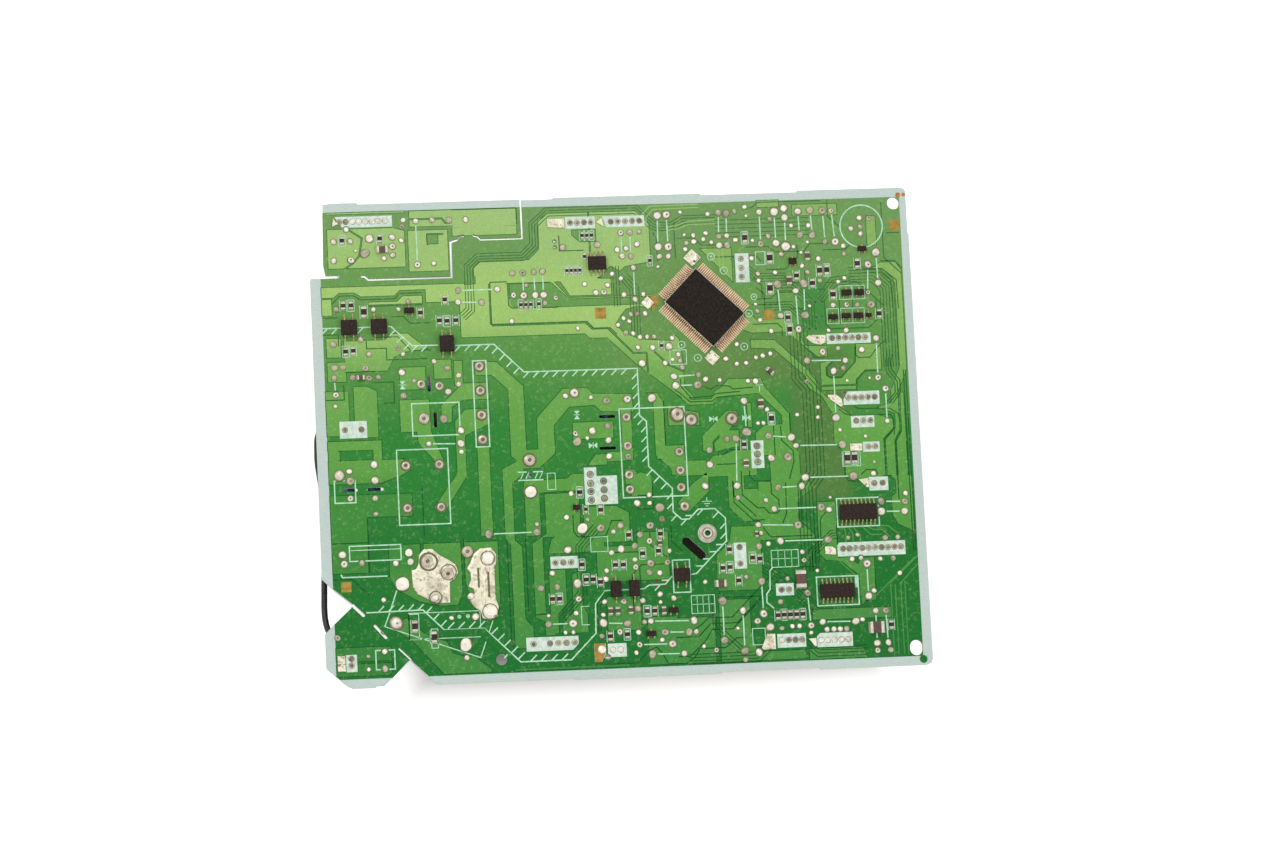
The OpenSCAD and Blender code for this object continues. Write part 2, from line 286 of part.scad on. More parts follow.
// Fields of resist over copper, which show lighter
copper_areas = [
    // mains entry and fuse
    [[3.3, 61.8], [19.8, 61.8], [19.8, 75], [3.3, 75], [3.3, 72], [17, 72], [17, 69.1], [3.3, 69.1]],
    [[3.3, 44], [14.5, 44], [14.5, 51.5], [28.2, 51.5], [28.2, 58.5], [3.3, 58.5]],
    [[3.3, 76.5], [10.4, 76.5], [10.4, 90.3], [3.3, 90.3]],
    [[11.8, 75.8], [19, 75.8], [19, 90], [16, 91.6], [11.8, 91.6]],
    [[3.3, 34.7], [14.2, 34.7], [14.2, 43.9], [3.3, 43.9]],
    [[20.4, 33.1], [27.6, 33.1], [30, 36], [30, 43], [20.4, 43]],
    [[4.2, 93], [10, 93], [10, 99.2], [4.2, 99.2]], [[4.2, 100.5], [8.7, 100.5], [8.7, 106.5], [4.2, 106.5]],
    [[10.5, 96], [18.7, 96], [18.7, 105], [10.5, 105]],
    // corner tab
    [[3.2, 8], [20, 8], [20, 12.4], [3.2, 12.4]], [[3.2, 3.6], [19.2, 3.6], [20, 4.4], [20, 7.4], [3.2, 7.4]],
    // relay contacts
    [[19.8, 18], [22, 16.6], [26, 14], [35.6, 3.2], [50, 3.2], [50, 13.4], [36, 13.4], [30, 16], [25, 20.8]],
    [[20.6, 32.8], [22, 29.6], [29, 25.4], [36, 23.8], [40.8, 24], [42.3, 27.5], [42.3, 43], [31, 43],
    [30.4, 35.6]],
    [[43.2, 43], [43.2, 31], [45.2, 23.6], [47.5, 20.3], [52.4, 19.8], [53.6, 25], [53.6, 43]],
    // line filter and rectifier
    [[48.6, 44.5], [52.4, 44.5], [52.4, 72], [48.6, 72]], [[30.4, 65.6], [37, 65.5], [38.4, 68], [35, 77],
    [34.7, 87], [25.6, 87], [25.6, 77]],
    [[34.6, 53.8], [36.8, 51.8], [39, 53.8], [45.2, 63], [45.2, 75.4], [53, 78.8], [53, 83.5], [45.5, 83.5],
    [42.2, 80], [42.2, 64]],
    [[38.2, 79.5], [41.4, 79.5], [41.6, 84.3], [45, 86.3], [53, 86.3], [53, 91.5], [45, 91.5], [38.2, 85]],
    [[26, 90], [34, 90], [34, 97], [26, 97]], [[36.5, 93], [42, 93], [42, 99], [36.5, 99]],
    [[42.6, 90.8], [45.3, 90.8], [45.3, 98.5], [42.6, 98.5]],
    // rectified supply
    [[49, 93.7], [54, 93.6], [58.8, 89], [58.8, 68.5], [60.5, 67.3], [61.5, 64.6], [67.3, 64.6], [72.4, 69],
    [72.4, 77.5], [77.3, 83], [85, 83.3], [87, 81.3], [97, 80.8], [96.6, 86.5], [84.7, 87], [83, 88.8],
    [75.5, 88.8], [67.1, 80], [67.1, 70.5], [63.7, 70.5], [63.6, 90], [55.8, 97.7], [49, 98.2]],
    [[78, 73], [90.5, 73], [90.5, 78.3], [78, 78.3]],
    [[55.9, 64.8], [60.4, 67], [63, 63.5], [58.9, 60.4], [58.9, 43], [61, 41], [61, 19], [63.3, 16],
    [63.3, 10],
    [57.4, 10], [57.4, 42], [55.9, 43.4]],
    [[62.3, 44], [67, 44], [67, 57], [75, 57.4], [75, 61.3], [62.3, 60.9]],
    [[64, 20], [67.3, 20], [69.8, 18.6], [69.8, 13.5], [66.8, 13.5], [66.8, 17.8], [64, 19.2]],
    [[64, 20.3], [67.3, 20.3], [67.3, 43.4], [79, 43.4], [79, 56.8], [68.4, 56.8], [68.4, 44.6], [64, 41.8]],
    [[80, 41.2], [94, 41.2], [94, 50.2], [90, 52.4], [80, 52.4]],
    [[95, 55], [101.5, 55], [101.5, 61.5], [98, 62.4], [95, 61]],
    [[103.4, 66], [106.3, 66], [106.3, 84], [103.4, 84]],
    [[107.6, 61], [112, 61], [112, 69.8], [107.6, 69.8]],
    [[107.4, 76.2], [113.3, 76.2], [117, 76], [117, 80], [107.4, 82]],
    // signal side, left
    [[3.3, 118.9], [7, 118.9], [8.8, 120.3], [13.2, 120.3], [15.4, 119], [25.6, 119], [27.2, 120.6],
    [35, 120.6],
    [35, 116.6], [47, 116.6], [47, 122.2], [3.3, 122.2]],
    [[17.5, 116.4], [34, 116.4], [34, 118.9], [28, 118.9], [26.3, 117.3], [17.5, 117.3]],
    [[3.3, 113.4], [6.4, 113.4], [6.4, 118.5], [3.3, 118.5]],
    // daughter section
    [[5.8, 127.8], [29.5, 127.8], [29.5, 139], [26, 140], [13, 140], [5.8, 140]],
    [[30.4, 126.2], [36.6, 126.2], [42.6, 126.2], [42.6, 139], [30.4, 139]],
    [[5.8, 144.5], [29.8, 144.5], [29.8, 145.1], [5.8, 145.1]],
    [[31, 140], [63.8, 140], [63.8, 145], [31, 145]],
    [[44, 136.8], [63.8, 136.8], [63.8, 139.4], [44, 139.4]],
    // signal side, centre
    [[50, 127], [51.8, 128.7], [67, 128.8], [70.3, 132], [70.4, 141], [73.5, 143], [101, 143], [104.5, 139],
    [104.5, 122.6], [79.4, 122.6], [74.7, 127], [50, 124]],
    [[45.3, 105.4], [83.3, 105.4], [84.5, 104], [90, 103.9], [99, 95], [112, 84.6], [116, 84.6], [113, 88],
    [113, 95], [112, 103], [104, 110], [104, 116.7], [79, 116.7], [74.5, 121.8], [45.3, 121.8]],
    [[105.3, 117.2], [114.6, 126.6], [114.6, 137.6], [111.6, 142.8], [105.3, 142.8]],
    // signal side, right
    [[119.8, 130.6], [129.6, 119.8], [129.6, 130.6]],
    [[131, 105.4], [134.4, 103.9], [145, 103.9], [155, 95.5],
    [157.6, 95.9], [157.6, 99.2], [151, 99.5], [149.3, 103], [145, 108], [136.3, 108], [133.4, 111]],
    [[134, 101.9], [141.5, 101.6], [153.5, 89.8], [154, 86], [160.2, 80.3], [164.5, 77.2], [172, 77.4],
    [176.8, 76],
    [176.8, 73], [173.6, 70], [173.6, 58.5], [166.8, 57.2], [161.2, 58.4], [161.2, 66], [158.2, 69.2],
    [158.2, 78], [155.2, 83.5], [151, 86.4], [150.4, 90], [141, 98.8], [134, 99.2]],
    [[174.1, 58.4], [177, 58.4], [177, 69.4], [178.8, 72.4], [178.8, 84], [182, 91], [182, 122],
    [180.3, 124.6],
    [175.4, 124.6], [172.8, 122.9], [176.4, 122.3], [179.4, 119.2], [179.6, 91.6], [176.6, 84.6], [176.6, 81],
    [172, 79.6], [177.5, 77.6], [177.4, 73], [174.1, 69.6]],
    [[177.5, 51], [180.6, 54], [180.6, 84], [179.4, 84], [179.3, 72], [177.5, 69]],
    [[155.2, 85.4], [166, 85.4], [166.1, 88.4], [169, 91.3], [174.2, 91.3], [174.2, 99.5], [166.6, 99.5],
    [166.2, 94], [161.5, 89.1], [158.2, 89.1], [156.9, 90.1], [156.9, 92.4], [159, 94.7], [155.2, 94]],
    [[151.7, 37], [157.6, 37], [157.6, 51.2], [151.7, 51.2]],
    [[163.9, 19], [168.6, 22.6], [168.6, 33.6], [163.9, 33.6]],
    [[147, 3], [165, 3], [163.8, 6.4], [147, 6.4]], [[148.6, 15], [173, 15], [173, 18.3], [148.6, 18.3]],
    [[119, 72.4], [124, 72.4], [128.6, 76.8], [128.6, 79.2], [126.6, 80], [124, 78.6]],
    [[131.8, 74.8], [133.2, 74.8], [133.2, 82.4], [131.8, 82.4]],
    [[124, 87.4], [126.4, 90], [136.6, 90], [137.8, 87], [144.9, 78.6], [144.9, 71], [142.4, 71],
    [142.4, 78.2],
    [135.6, 85.2], [123.2, 84.4], [121.5, 82.3], [114, 82.3], [110.6, 85.6], [112, 86.6], [114.8, 84],
    [121, 84.1], [122.6, 86.8]],
    [[140.2, 57], [144, 57.6], [145.8, 64], [145.8, 67.4], [142.4, 70.4], [140.2, 70.4]],
    [[120, 25], [134, 25], [134, 44.6], [125, 44.6], [124.2, 40], [120, 36]],
    [[120, 3.4], [146, 3.4], [146, 6.2], [131.4, 6.2], [129.6, 12.4], [129.6, 22.4], [120, 22.4]],
    [[98, 3.4], [118.6, 3.4], [118.6, 24], [107.8, 24], [107.8, 18], [98, 18]],
    [[83.4, 29.2], [105.6, 29.2], [105.6, 44], [96, 44], [96, 40], [83.4, 40]],
    [[85.8, 14.2], [96.2, 14.2], [96.2, 24.6], [85.8, 24.6]]];
// Narrow dark gaps between the copper areas: [points]
copper_gaps = [ [[54.6, 121.8], [54.6, 109.5], [55.2, 108.9], [83.5, 108.9], [85.5, 106.9], [90.3, 106.9],
    [97.8, 99], [101.8, 98.9], [102, 93]], [[60.3, 122], [60.4, 115], [61.3, 114.2], [75, 114]],
    [[86, 122.6], [86, 143]], [[104.4, 99], [108.4, 95], [113, 92.8]], [[31, 142.4], [41, 142.4], [42, 141],
    [63.8, 141]], [[36.4, 134.6], [36.4, 137.6], [41, 137.6]], [[12, 140], [16.4, 137], [15.4, 131.6],
    [13.4, 129.4], [11, 127.8]], [[129, 59], [129, 54.2], [133.5, 50]], [[155.2, 86.8], [166, 86.8]]];
gap_w = 0.4;

// Printed isolation line, hatched on its lower left side, and its last stretch, hatched on the other side
isolation_lines = [[[3.3, 109.6], [8.6, 109.6]], [[14.2, 109.6], [17.6, 109.6]], [[23.3, 109.7],
    [24.2, 109.5], [30.3, 103.5], [38, 103.4]], [[43.5, 103.1], [55.2, 103.1], [64, 94.3], [98.7, 94.2],
    [98.7, 79.7], [100.7, 77.8], [100.7, 64], [107.6, 57], [107.5, 49.8], [110, 47.4], [112.3, 47.4],
    [115.2, 50.3], [120.3, 50.3], [123.4, 47.3], [123.4, 40.3], [113.7, 30.7], [112.2, 30.5]],
    [[106.1, 30.1], [104, 27.8], [99, 27.7], [97.5, 26.7], [96.4, 26.6]], [[92.6, 26.6], [90.7, 26.6]],
    [[87, 26.6], [85.3, 26.5], [82.4, 22.7], [82.1, 13.7], [74.3, 6], [58.9, 6], [48.3, 16.6],
    [36.2, 16.6]]];
return_line = [[36.2, 16.6], [30, 22.9], [13, 22.7]];
hatch_step = 3;
hatch_reach = 1.8;
// Printed outlines of parts: [u, v, width, height] of the middle line
outlines = [[24.1, 48.8, 15.5, 22.9], [29.3, 75.8, 14.4, 9.9], [48.4, 71.8, 4.1, 26.4],
    [92.5, 54.6, 19.9, 27.3], [8.6, 38.4, 15.5, 4.6], [4.9, 56.2, 6.3, 6.8], [15.2, 5.4, 5.7, 5.8],
    [157.9, 43.2, 12.9, 8.7], [150.4, 19.3, 12.8, 8.8], [106.5, 25.1, 5.2, 9.9]];
relay_centre = [35.3, 20.7];
relay_angle = -19.8;
buzzer_centre = [170.3, 136];
buzzer_r = 6.6;
// Printed lines: [points]
print_lines = [[[5.8, 34.4], [6.2, 33.6], [19.6, 33.6]], [[60.8, 63.6], [63.2, 63.6]], [[65.4, 63.6],
    [68.2, 63.6]], [[60.8, 61.1], [68.2, 61.1]], [[18.3, 18.4], [19.9, 22.3]], [[20.2, 23.2], [22.3, 29]],
    [[137, 31.5], [136.2, 30.5], [136, 25], [134.9, 23.6], [134.8, 21], [136.8, 19.2]]];

// Joints that break a printed line or field
print_breaks = [[9.7, 62.8, 1.3], [171.5, 47.5, 1.4], [44, 77, 1.2], [17.8, 5.7, 1.1], [17.9, 10.8, 1],
    [12.2, 37.8, 1], [171.7, 50.6, 1.2], [6.5, 64.5, 1.7], [100.4, 55.2, 0.9], [110.3, 79.6, 2.1],
    [11.7, 139.8, 0.9], [164.5, 33.5, 0.8], [163.8, 103.8, 0.9], [158.4, 103.9, 0.7], [75.2, 14.3, 0.7],
    [72.8, 14.3, 0.7]];

// Printed white fields round the connectors and blocks: [points]
print_fields = [ [[10.6, 140.4], [25.8, 140.4], [25.8, 143.8], [8.3, 143.8]], [[7.2, 75.8], [15.5, 75.8],
    [15.5, 81], [7.2, 81]], [[6.2, 5], [9.5, 5], [9.5, 10.2], [6.2, 10.2]], [[60.8, 9], [76.7, 9],
    [76.7, 13.2], [60.8, 13.2]], [[69.3, 33.8], [77.6, 33.8], [77.6, 37.5], [69.3, 37.5]], [[78.8, 138],
    [87.9, 138], [87.9, 141.6], [78.8, 141.6]], [[91.4, 138.1], [103.2, 138.1], [103.2, 141.5],
    [90.2, 141.5]], [[80.8, 52.9], [90.8, 52.9], [90.8, 61.6], [84.6, 61.6], [84.6, 64.3], [80.8, 64.3]],
    [[85.5, 6.3], [91.2, 6.3], [91.2, 10.4], [85.5, 10.4]], [[125.5, 31.6], [129.3, 31.6], [129.3, 39.6],
    [125.5, 39.6]], [[132.4, 62.2], [136.3, 62.2], [136.3, 70.7], [132.4, 70.7]], [[137.8, 22.9],
    [143.3, 22.9], [143.3, 26.6], [137.8, 26.6]], [[137.4, 7], [146.2, 7], [146.2, 11.2], [137.4, 11.2]],
    [[157.4, 34.1], [178.4, 34.1], [178.4, 38.4], [158, 38.4], [157.4, 37.6]], [[149.6, 6.7], [160.6, 6.7],
    [160.6, 11], [150.6, 11], [149.6, 10]], [[168.3, 54], [174.2, 54], [174.2, 58.2], [168.3, 58.2]],
    [[167, 66], [172.2, 66], [172.2, 69.1], [167, 69.1]], [[163.8, 73.6], [171, 73.6], [171, 77.2],
    [163.8, 77.2]], [[161.8, 80.7], [173, 80.7], [173, 84.8], [163.2, 84.8], [161.8, 82.4]], [[157.6, 99.7],
    [171.3, 99.7], [171.3, 102.9], [157.6, 102.9]], [[130.5, 119.7], [134.8, 119.7], [134.8, 128.7],
    [130.5, 128.7]]];

// Lands flooded with solder: [height, points]
flooded = [ [0.5, [[27, 33.8], [28.2, 27.2], [30.4, 25.2], [36, 24.4], [40.6, 24.6], [41.4, 28],
    [41.4, 40.6], [35, 42], [29.4, 40.8], [29.8, 36]]], [0.5, [[44.6, 37.4], [43.7, 35], [44.8, 33],
    [44.6, 30], [43.9, 29], [45.5, 24.2], [47.4, 22.6], [48.4, 24.4], [52.1, 25], [52.1, 35.4],
    [48, 37.4]]], [0.4, [[153.5, 35], [156.9, 34.7], [156.9, 36.5], [155.8, 37.3], [153.5, 37.4]]],
    [0.4, [[165, 57.6], [167.4, 55], [168.2, 55], [168.2, 58]]], [0.4, [[163, 66.4], [166.8, 66.4],
    [166.8, 68.7], [163, 68.7]]], [0.4, [[156.9, 84], [157.2, 82.8], [160.9, 80.1], [161.6, 80.6],
    [161.3, 82.6], [159.6, 84]]], [0.4, [[151, 101.8], [153.4, 100], [155.6, 99.5], [157.4, 100.2],
    [157.4, 102.6], [152.2, 102.7]]], [0.4, [[147.1, 9.4], [148.8, 7], [149.4, 7], [149.4, 9.6]]],
    [0.4, [[132.2, 6.6], [136.9, 6.6], [136.9, 11.4], [134.4, 11.6]]], [0.4, [[73.2, 138.6], [78.6, 138.2],
    [78.6, 141.2], [73.2, 141.2]]], [0.4, [[88.3, 139.7], [90.6, 138.3], [90, 141.2]]], [0.4, [[3.6, 5.2],
    [6, 5.2], [6, 10], [3.6, 10]]], [0.4, [[7.4, 140.6], [10, 140.6], [7.9, 143.5]]], [0.3, [[81.3, 4.9],
    [83.6, 4.9], [84.9, 7.6], [84.9, 10.6], [81.3, 10.6]]]];
// Square solder lands at the corners of the microcontroller: [u, v, side]
corner_lands = [[117.3, 127.8, 4], [102.9, 114.3, 3], [121.9, 96.7, 3.6]];
bare_gold = [[7.2, 30.7, 3.1], [88.3, 111.6, 3.4], [140.2, 109.3, 3.2], [180.6, 136, 3.3]];
mcu_centre = [120.2, 112.1];
mcu_angle = -45;
eyelet_centre = [117.6, 42.8];

// Route of the centre line of the black lead, between its two soldered ends: [u, v, height]
lead_route = [[6.2, 85.7, 30], [6.2, 85.7, 27.5], [6.1, 85.4, 25], [5.6, 84.5, 22.9], [4.6, 83, 21.6],
    [3.3, 81.4, 21], [1.9, 79.8, 20.8], [0.9, 77.4, 20.7], [0.7, 74, 20.6], [0.65, 70.7, 20.5],
    [0.95, 67.2, 20.4], [1.4, 63.5, 20.3], [1.9, 59, 20.3], [2.1, 54, 20.3], [2.2, 49, 20.3], [2.1, 44, 20.3],
    [1.8, 40, 20.3], [1.4, 36.5, 20.4], [1.15, 32.5, 20.5], [1, 29, 20.7], [0.85, 25.5, 21],
    [0.95, 22, 21.6], [1.5, 19, 22.7], [2.5, 16.9, 24.4], [3.4, 15.8, 26.6], [3.9, 15.4, 28.8],
    [3.9, 15.4, 30]];
lead_sides = 8;

// Sizes of the hanging parts
clear = 1.3; // under a body, so that jumper wires pass between it and the board
low_clear = 0.5;
wire_r = 0.3;
pin_r = 0.35;
gull_t = 0.15;
land_t = 0.06;
chip_h = 0.5;
rectifier_centre = [50.4, 85.25];
filter_centre = [31.8, 60.4];
transformer_centre = [102.45, 68.3];
power_ic_centre = [84.7, 58.25];
regulator_centre = [134.3, 66.5];
resonator_centre = [127.15, 131.4];
fuse_axis = [16.6, 39.1];
fuse_l = 20;
fuse_r = 2.6;
fuse_z = 4.8;
sleeve_t = 0.2;
package_base = 4;

module place() {
    translate([-board_w / 2, -board_h / 2, 0]) children();
}

module at(p, z = 0) {
    translate([p[0], p[1], z]) children();
}

// A straight stroke with square ends, which reach past its end points by lap
module stroke(p, q, w, lap = 0) {
    d = q - p;
    translate(p) rotate(atan2(d.y, d.x)) translate([-lap, -w / 2]) square([norm(d) + 2 * lap, w]);
}

// A channel along points with round ends and corners
module channel(points, w) {
    for (i = [0:len(points) - 2]) stroke(points[i], points[i + 1], w - 0.02);
    for (p = points) translate(p) circle(d = w);
}

module cutouts() {
    for (s = slots) channel(s[0], s[1]);
    for (h = plain_holes) translate([h[0], h[1]]) circle(d = h[2]);
    translate(fixing_hole) circle(d = fixing_hole_d);
    translate(oblong_hole) {
        for (s = [-1, 1]) translate([0, s * (oblong_h - oblong_w) / 2]) circle(d = oblong_w);
        square([oblong_w, oblong_h - oblong_w], center = true);
    }
}

module circuit_board() {
    color("#c8d7cf") place() difference() {
        at([0, 0], board_z) linear_extrude(board_t) difference() {
            polygon(outline);
            cutouts();
        }
        for (p = leaded_joints) at(p, board_z - 1) cylinder(d = lead_hole_d, h = board_t + 2, $fn = 16);
        for (p = header_joints) at(p, board_z - 1) cylinder(d = lead_hole_d, h = board_t + 2, $fn = 16);
        for (p = block_pins) at(p, board_z - 1) cylinder(d = lead_hole_d, h = board_t + 2, $fn = 16);
    }
}

module copper_shapes() {
    difference() {
        for (a = copper_areas) polygon(a);
        for (g = copper_gaps, i = [0:len(g) - 2]) stroke(g[i], g[i + 1], gap_w, gap_w / 2);
        cutouts();
    }
}

module copper_pattern() {
    color("#7fbb52") place() at([0, 0], top_z) linear_extrude(resist_t) copper_shapes();
}

module solder_resist() {
    color("#1f7a37") place() at([0, 0], top_z) linear_extrude(resist_t) {
        difference() {
            polygon(resist_field);
            cutouts();
            copper_shapes();
        }
        translate([182.1, 1.8]) circle(r = 1.2);
    }
}

// Slanted strokes on one side of an isolation line, at equal steps along it, or level ones where it
// slants too
module hatching(points, side) {
    for (i = [0:len(points) - 2]) {
        p = points[i];
        d = points[i + 1] - p;
        along = d / norm(d);
        across = abs(along.x - along.y) < 0.3 ? [1.2, 0] : [1, 1];
        for (s = [hatch_step / 2:hatch_step:norm(d) - 0.6]) {
            q = p + along * s;
            stroke(q, q + hatch_reach * side * across, print_w);
        }
    }
}

module printed_lines() {
    for (l = concat(isolation_lines, [return_line], print_lines), i = [0:len(l) - 2])
        stroke(l[i], l[i + 1], print_w, print_w * 0.4);
    for (l = isolation_lines) hatching(l, -1);
    hatching(return_line, 1);
    for (o = outlines) translate([o[0], o[1]]) difference() {
        translate([-print_w / 2, -print_w / 2]) square([o[2] + print_w, o[3] + print_w]);
        translate([print_w / 2, print_w / 2]) square([o[2] - print_w, o[3] - print_w]);
    }
    translate(buzzer_centre) difference() {
        circle(r = buzzer_r + print_w / 2, $fn = 64);
        circle(r = buzzer_r - print_w / 2, $fn = 64);
    }
    for (j = jumpers) {
        p = [j[0], j[1]];
        q = [j[3], j[4]];
        d = (q - p) / norm(q - p);
        stroke(p + d * (j[2] + 0.35), q - d * (j[5] + 0.35), print_w);
    }
}

module silkscreen_lines() {
    color("#bfe8c8") place() at([0, 0], coat_z) linear_extrude(print_t) difference() {
        printed_lines();
        for (b = print_breaks) translate([b[0], b[1]]) circle(r = b[2] + 0.25, $fn = 12);
        for (f = flooded) polygon(f[1]);
    }
}

module silkscreen_fields() {
    color("#e3efe6") place() at([0, 0], coat_z) linear_extrude(print_t) difference() {
        for (f = print_fields) polygon(f);
        for (p = header_joints) translate(p) circle(r = clearing_r);
        for (p = block_pins) translate(p) circle(r = clearing_r + 0.15);
        for (b = print_breaks) translate([b[0], b[1]]) circle(r = b[2] + 0.25, $fn = 12);
        cutouts();
    }
}

// A solder fillet round a lead's end: a cone that narrows to the rounded tip
module fillet(r) {
    cylinder(h = 0.35 * r, r1 = r, r2 = 0.8 * r, $fn = 24);
    at([0, 0], 0.35 * r - eps) cylinder(h = 0.45 * r, r1 = 0.8 * r, r2 = 0.35 * r, $fn = 24);
}

module solder_joints() {
    color("#efe9dc") place() for (p = concat(leaded_joints, test_lands)) at(p, coat_z) fillet(p[2]);
}

module connector_joints() {
    color("#b9b6ac") place() {
        for (p = header_joints) at(p, coat_z) fillet(connector_r);
        for (p = block_pins) at(p, coat_z) fillet(connector_r + 0.1);
    }
}

module flooded_lands() {
    color("#efe6cf") place() {
        for (f = flooded) at([0, 0], coat_z) linear_extrude(f[0]) difference() {
            polygon(f[1]);
            for (p = concat(leaded_joints, test_lands)) translate([p[0], p[1]]) circle(r = p[2] + 0.2);
            for (p = header_joints) translate(p) circle(r = connector_r + 0.15);
        }
        for (c = corner_lands) at(c, coat_z) rotate(45) linear_extrude(0.5) square(c[2], center = true);
    }
}

module test_pads() {
    color("#c99a3d") place() for (g = bare_gold)
        at(g, coat_z) linear_extrude(print_t) square(g[2], center = true);
}

module earth_eyelet() {
    color("#cfc8b4") place() at(eyelet_centre, coat_z) difference() {
        union() {
            cylinder(r1 = 2.9, r2 = 2.3, h = 0.5);
            cylinder(r = 1.6, h = 1.2);
        }
        at([0, 0], -1) cylinder(r = 0.9, h = 4);
    }
}

// Section of a moulded package: widest at the parting line, tapered above and below it
function moulded_section(half, base, h, taper) = let (m = base + h / 2, b = gull_t / 2 + eps)
    [[-half + taper, base], [half - taper, base], [half, m - b], [half, m + b], [half - taper, base + h],
    [-half + taper, base + h], [-half, m + b], [-half, m - b]];

module moulded_body(l, w, h, base = 0.1, taper = 0.15) {
    intersection() {
        rotate([90, 0, 0]) linear_extrude(w + 1, center = true)
            polygon(moulded_section(l / 2, base, h, taper));
        rotate([90, 0, 90]) linear_extrude(l + 1, center = true)
            polygon(moulded_section(w / 2, base, h, taper));
    }
}

// One gull-wing lead along +x, from the parting line at height m to its foot on z = 0
module gull_wing(m, reach, w) {
    t = gull_t;
    rotate([90, 0, 0]) linear_extrude(w, center = true) polygon([[0, m - t / 2], [0, m + t / 2],
        [0.35 * reach, m + t / 2], [0.52 * reach, t], [reach, t], [reach, 0], [0.44 * reach, 0],
        [0.3 * reach, m - t / 2]]);
}

// A row of n children along y, centred
module row(n, pitch) {
    for (i = [0:n - 1]) translate([0, (i - (n - 1) / 2) * pitch, 0]) children();
}

// The four sides of the microcontroller: 30 leads on a long side, 20 on a short one
module mcu_sides() {
    at(mcu_centre, coat_z) rotate(mcu_angle) {
        for (a = [0, 180]) rotate(a) translate([mcu_l / 2, 0, 0]) row(20, mcu_pitch) children();
        for (a = [90, 270]) rotate(a) translate([mcu_w / 2, 0, 0]) row(30, mcu_pitch) children();
    }
}

module microcontroller_package() {
    color("#2b2422") place() at(mcu_centre, coat_z + land_t) rotate(mcu_angle) difference() {
        moulded_body(mcu_l, mcu_w, mcu_h, 0.1, 0.25);
        at([-mcu_l / 2 + 2, -mcu_w / 2 + 2], mcu_h) cylinder(r = 0.7, h = 1);
    }
}

module microcontroller_leads() {
    color("#d8c39a") place() mcu_sides() translate([0, 0, land_t]) gull_wing(0.1 + mcu_h / 2, mcu_reach, 0.3);
}

module microcontroller_lands() {
    color("#e6cfa2") place() mcu_sides() translate([0.75, -0.19, 0]) cube([2.5, 0.38, land_t]);
}

module small_outline(s, h = 1.6) {
    at(s, coat_z) moulded_body(s[2], s[3], h);
}

module small_outline_leads(s, h = 1.6, reach = 1.7) {
    at(s, coat_z) for (a = [90, 270]) rotate(a) translate([s[3] / 2, 0, 0]) row(s[4], s[5])
        gull_wing(0.1 + h / 2, reach, 0.42);
}

module driver_ics() {
    color("#231d1b") place() for (s = [sop_upper, sop_lower]) small_outline(s);
}

module memory_ic() {
    color("#231d1b") place() small_outline(sop_memory);
}

module photocouplers() {
    color("#2a211e") place() for (c = couplers) small_outline(c, 2);
}

module small_transistors() {
    color("#2b2421") place() for (t = transistors) at(t, coat_z) moulded_body(t[3], t[4], 1);
}

module gull_wing_leads() {
    color("#a08a4c") place() {
        for (s = [sop_upper, sop_lower, sop_memory]) small_outline_leads(s);
        for (c = couplers) small_outline_leads(c, 2, 1.9);
        for (t = transistors) at(t, coat_z) {
            for (s = [-1, 1]) translate([s * t[3] * 0.32, -t[4] / 2, 0]) rotate(-90)
                gull_wing(0.6, 0.75, 0.45);
            translate([0, t[4] / 2, 0]) rotate(90) gull_wing(0.6, 0.75, 0.45);
        }
    }
}

// Chip body between its two end caps, long axis along y
module chip_body(c, h) {
    at(c, coat_z) rotate(c[2]) translate([-c[4] / 2, -c[3] * 0.3, 0.05]) cube([c[4], c[3] * 0.6, h]);
}

module chip_ends(c, h) {
    l = c[3];
    at(c, coat_z) rotate(c[2]) for (a = [0, 180]) rotate(a) translate([0, l * 0.3, 0]) rotate([90, 0, 90])
        linear_extrude(c[4] + 0.1, center = true)
            polygon([[0, 0], [l * 0.2 + 0.45, 0], [l * 0.2 + 0.3, h * 0.4],
        [l * 0.2, h + 0.08], [0, h + 0.08]]);
}

module chip_resistors() {
    color("#3a2a26") place() for (c = resistor_chips) chip_body(c, chip_h);
}

module chip_capacitors() {
    color("#7a4a34") place() for (c = capacitor_chips) chip_body(c, chip_h * 2);
}

module chip_terminals() {
    color("#e8e0cf") place() {
        for (c = resistor_chips) chip_ends(c, chip_h);
        for (c = capacitor_chips) chip_ends(c, chip_h * 2);
    }
}

// Hangs what is drawn standing on z = 0 from the underside of the board
module hang(p, a = 0) {
    translate([p[0], p[1], board_z]) rotate(a) mirror([0, 0, 1]) children();
}

// Places children at the middle of a two-lead part, turned so that x runs from lead to lead
module between(r) {
    hang([(r[0] + r[3]) / 2, (r[1] + r[4]) / 2], atan2(r[4] - r[1], r[3] - r[0])) children();
}

function span(r) = norm([r[3] - r[0], r[4] - r[1]]);

// Aluminium can with its crimp groove and a scored vent on the closed end
module radial_can(d, h, base) {
    r = d / 2 - sleeve_t;
    top = h - sleeve_t;
    translate([0, 0, base]) difference() {
        rotate_extrude() polygon([[0, 0], [r - 0.2, 0], [r, 0.3], [r, 1.6],
            [r - 0.5, 2], [r, 2.4], [r, top], [0, top]]);
        for (a = [0, 90]) rotate(a) translate([-d / 4, -0.15, top - 0.2]) cube([d / 2, 0.3, 1]);
    }
}

// Shrunk plastic sleeve that turns in over both ends of the can
module radial_sleeve(d, h, base) {
    r = d / 2;
    translate([0, 0, base]) rotate_extrude()
        polygon([[r - sleeve_t, 0.3], [r, 0.3], [r, h - 0.3], [r - 0.3, h],
        [r - 1.2, h], [r - 1.2, h - sleeve_t], [r - sleeve_t, h - sleeve_t]]);
}

main_cap_centre = [64.35, 62.35];

module capacitor_can() {
    color("#c8ccd0") place() hang(main_cap_centre) radial_can(main_cap_d, stand_h - low_clear, low_clear);
}

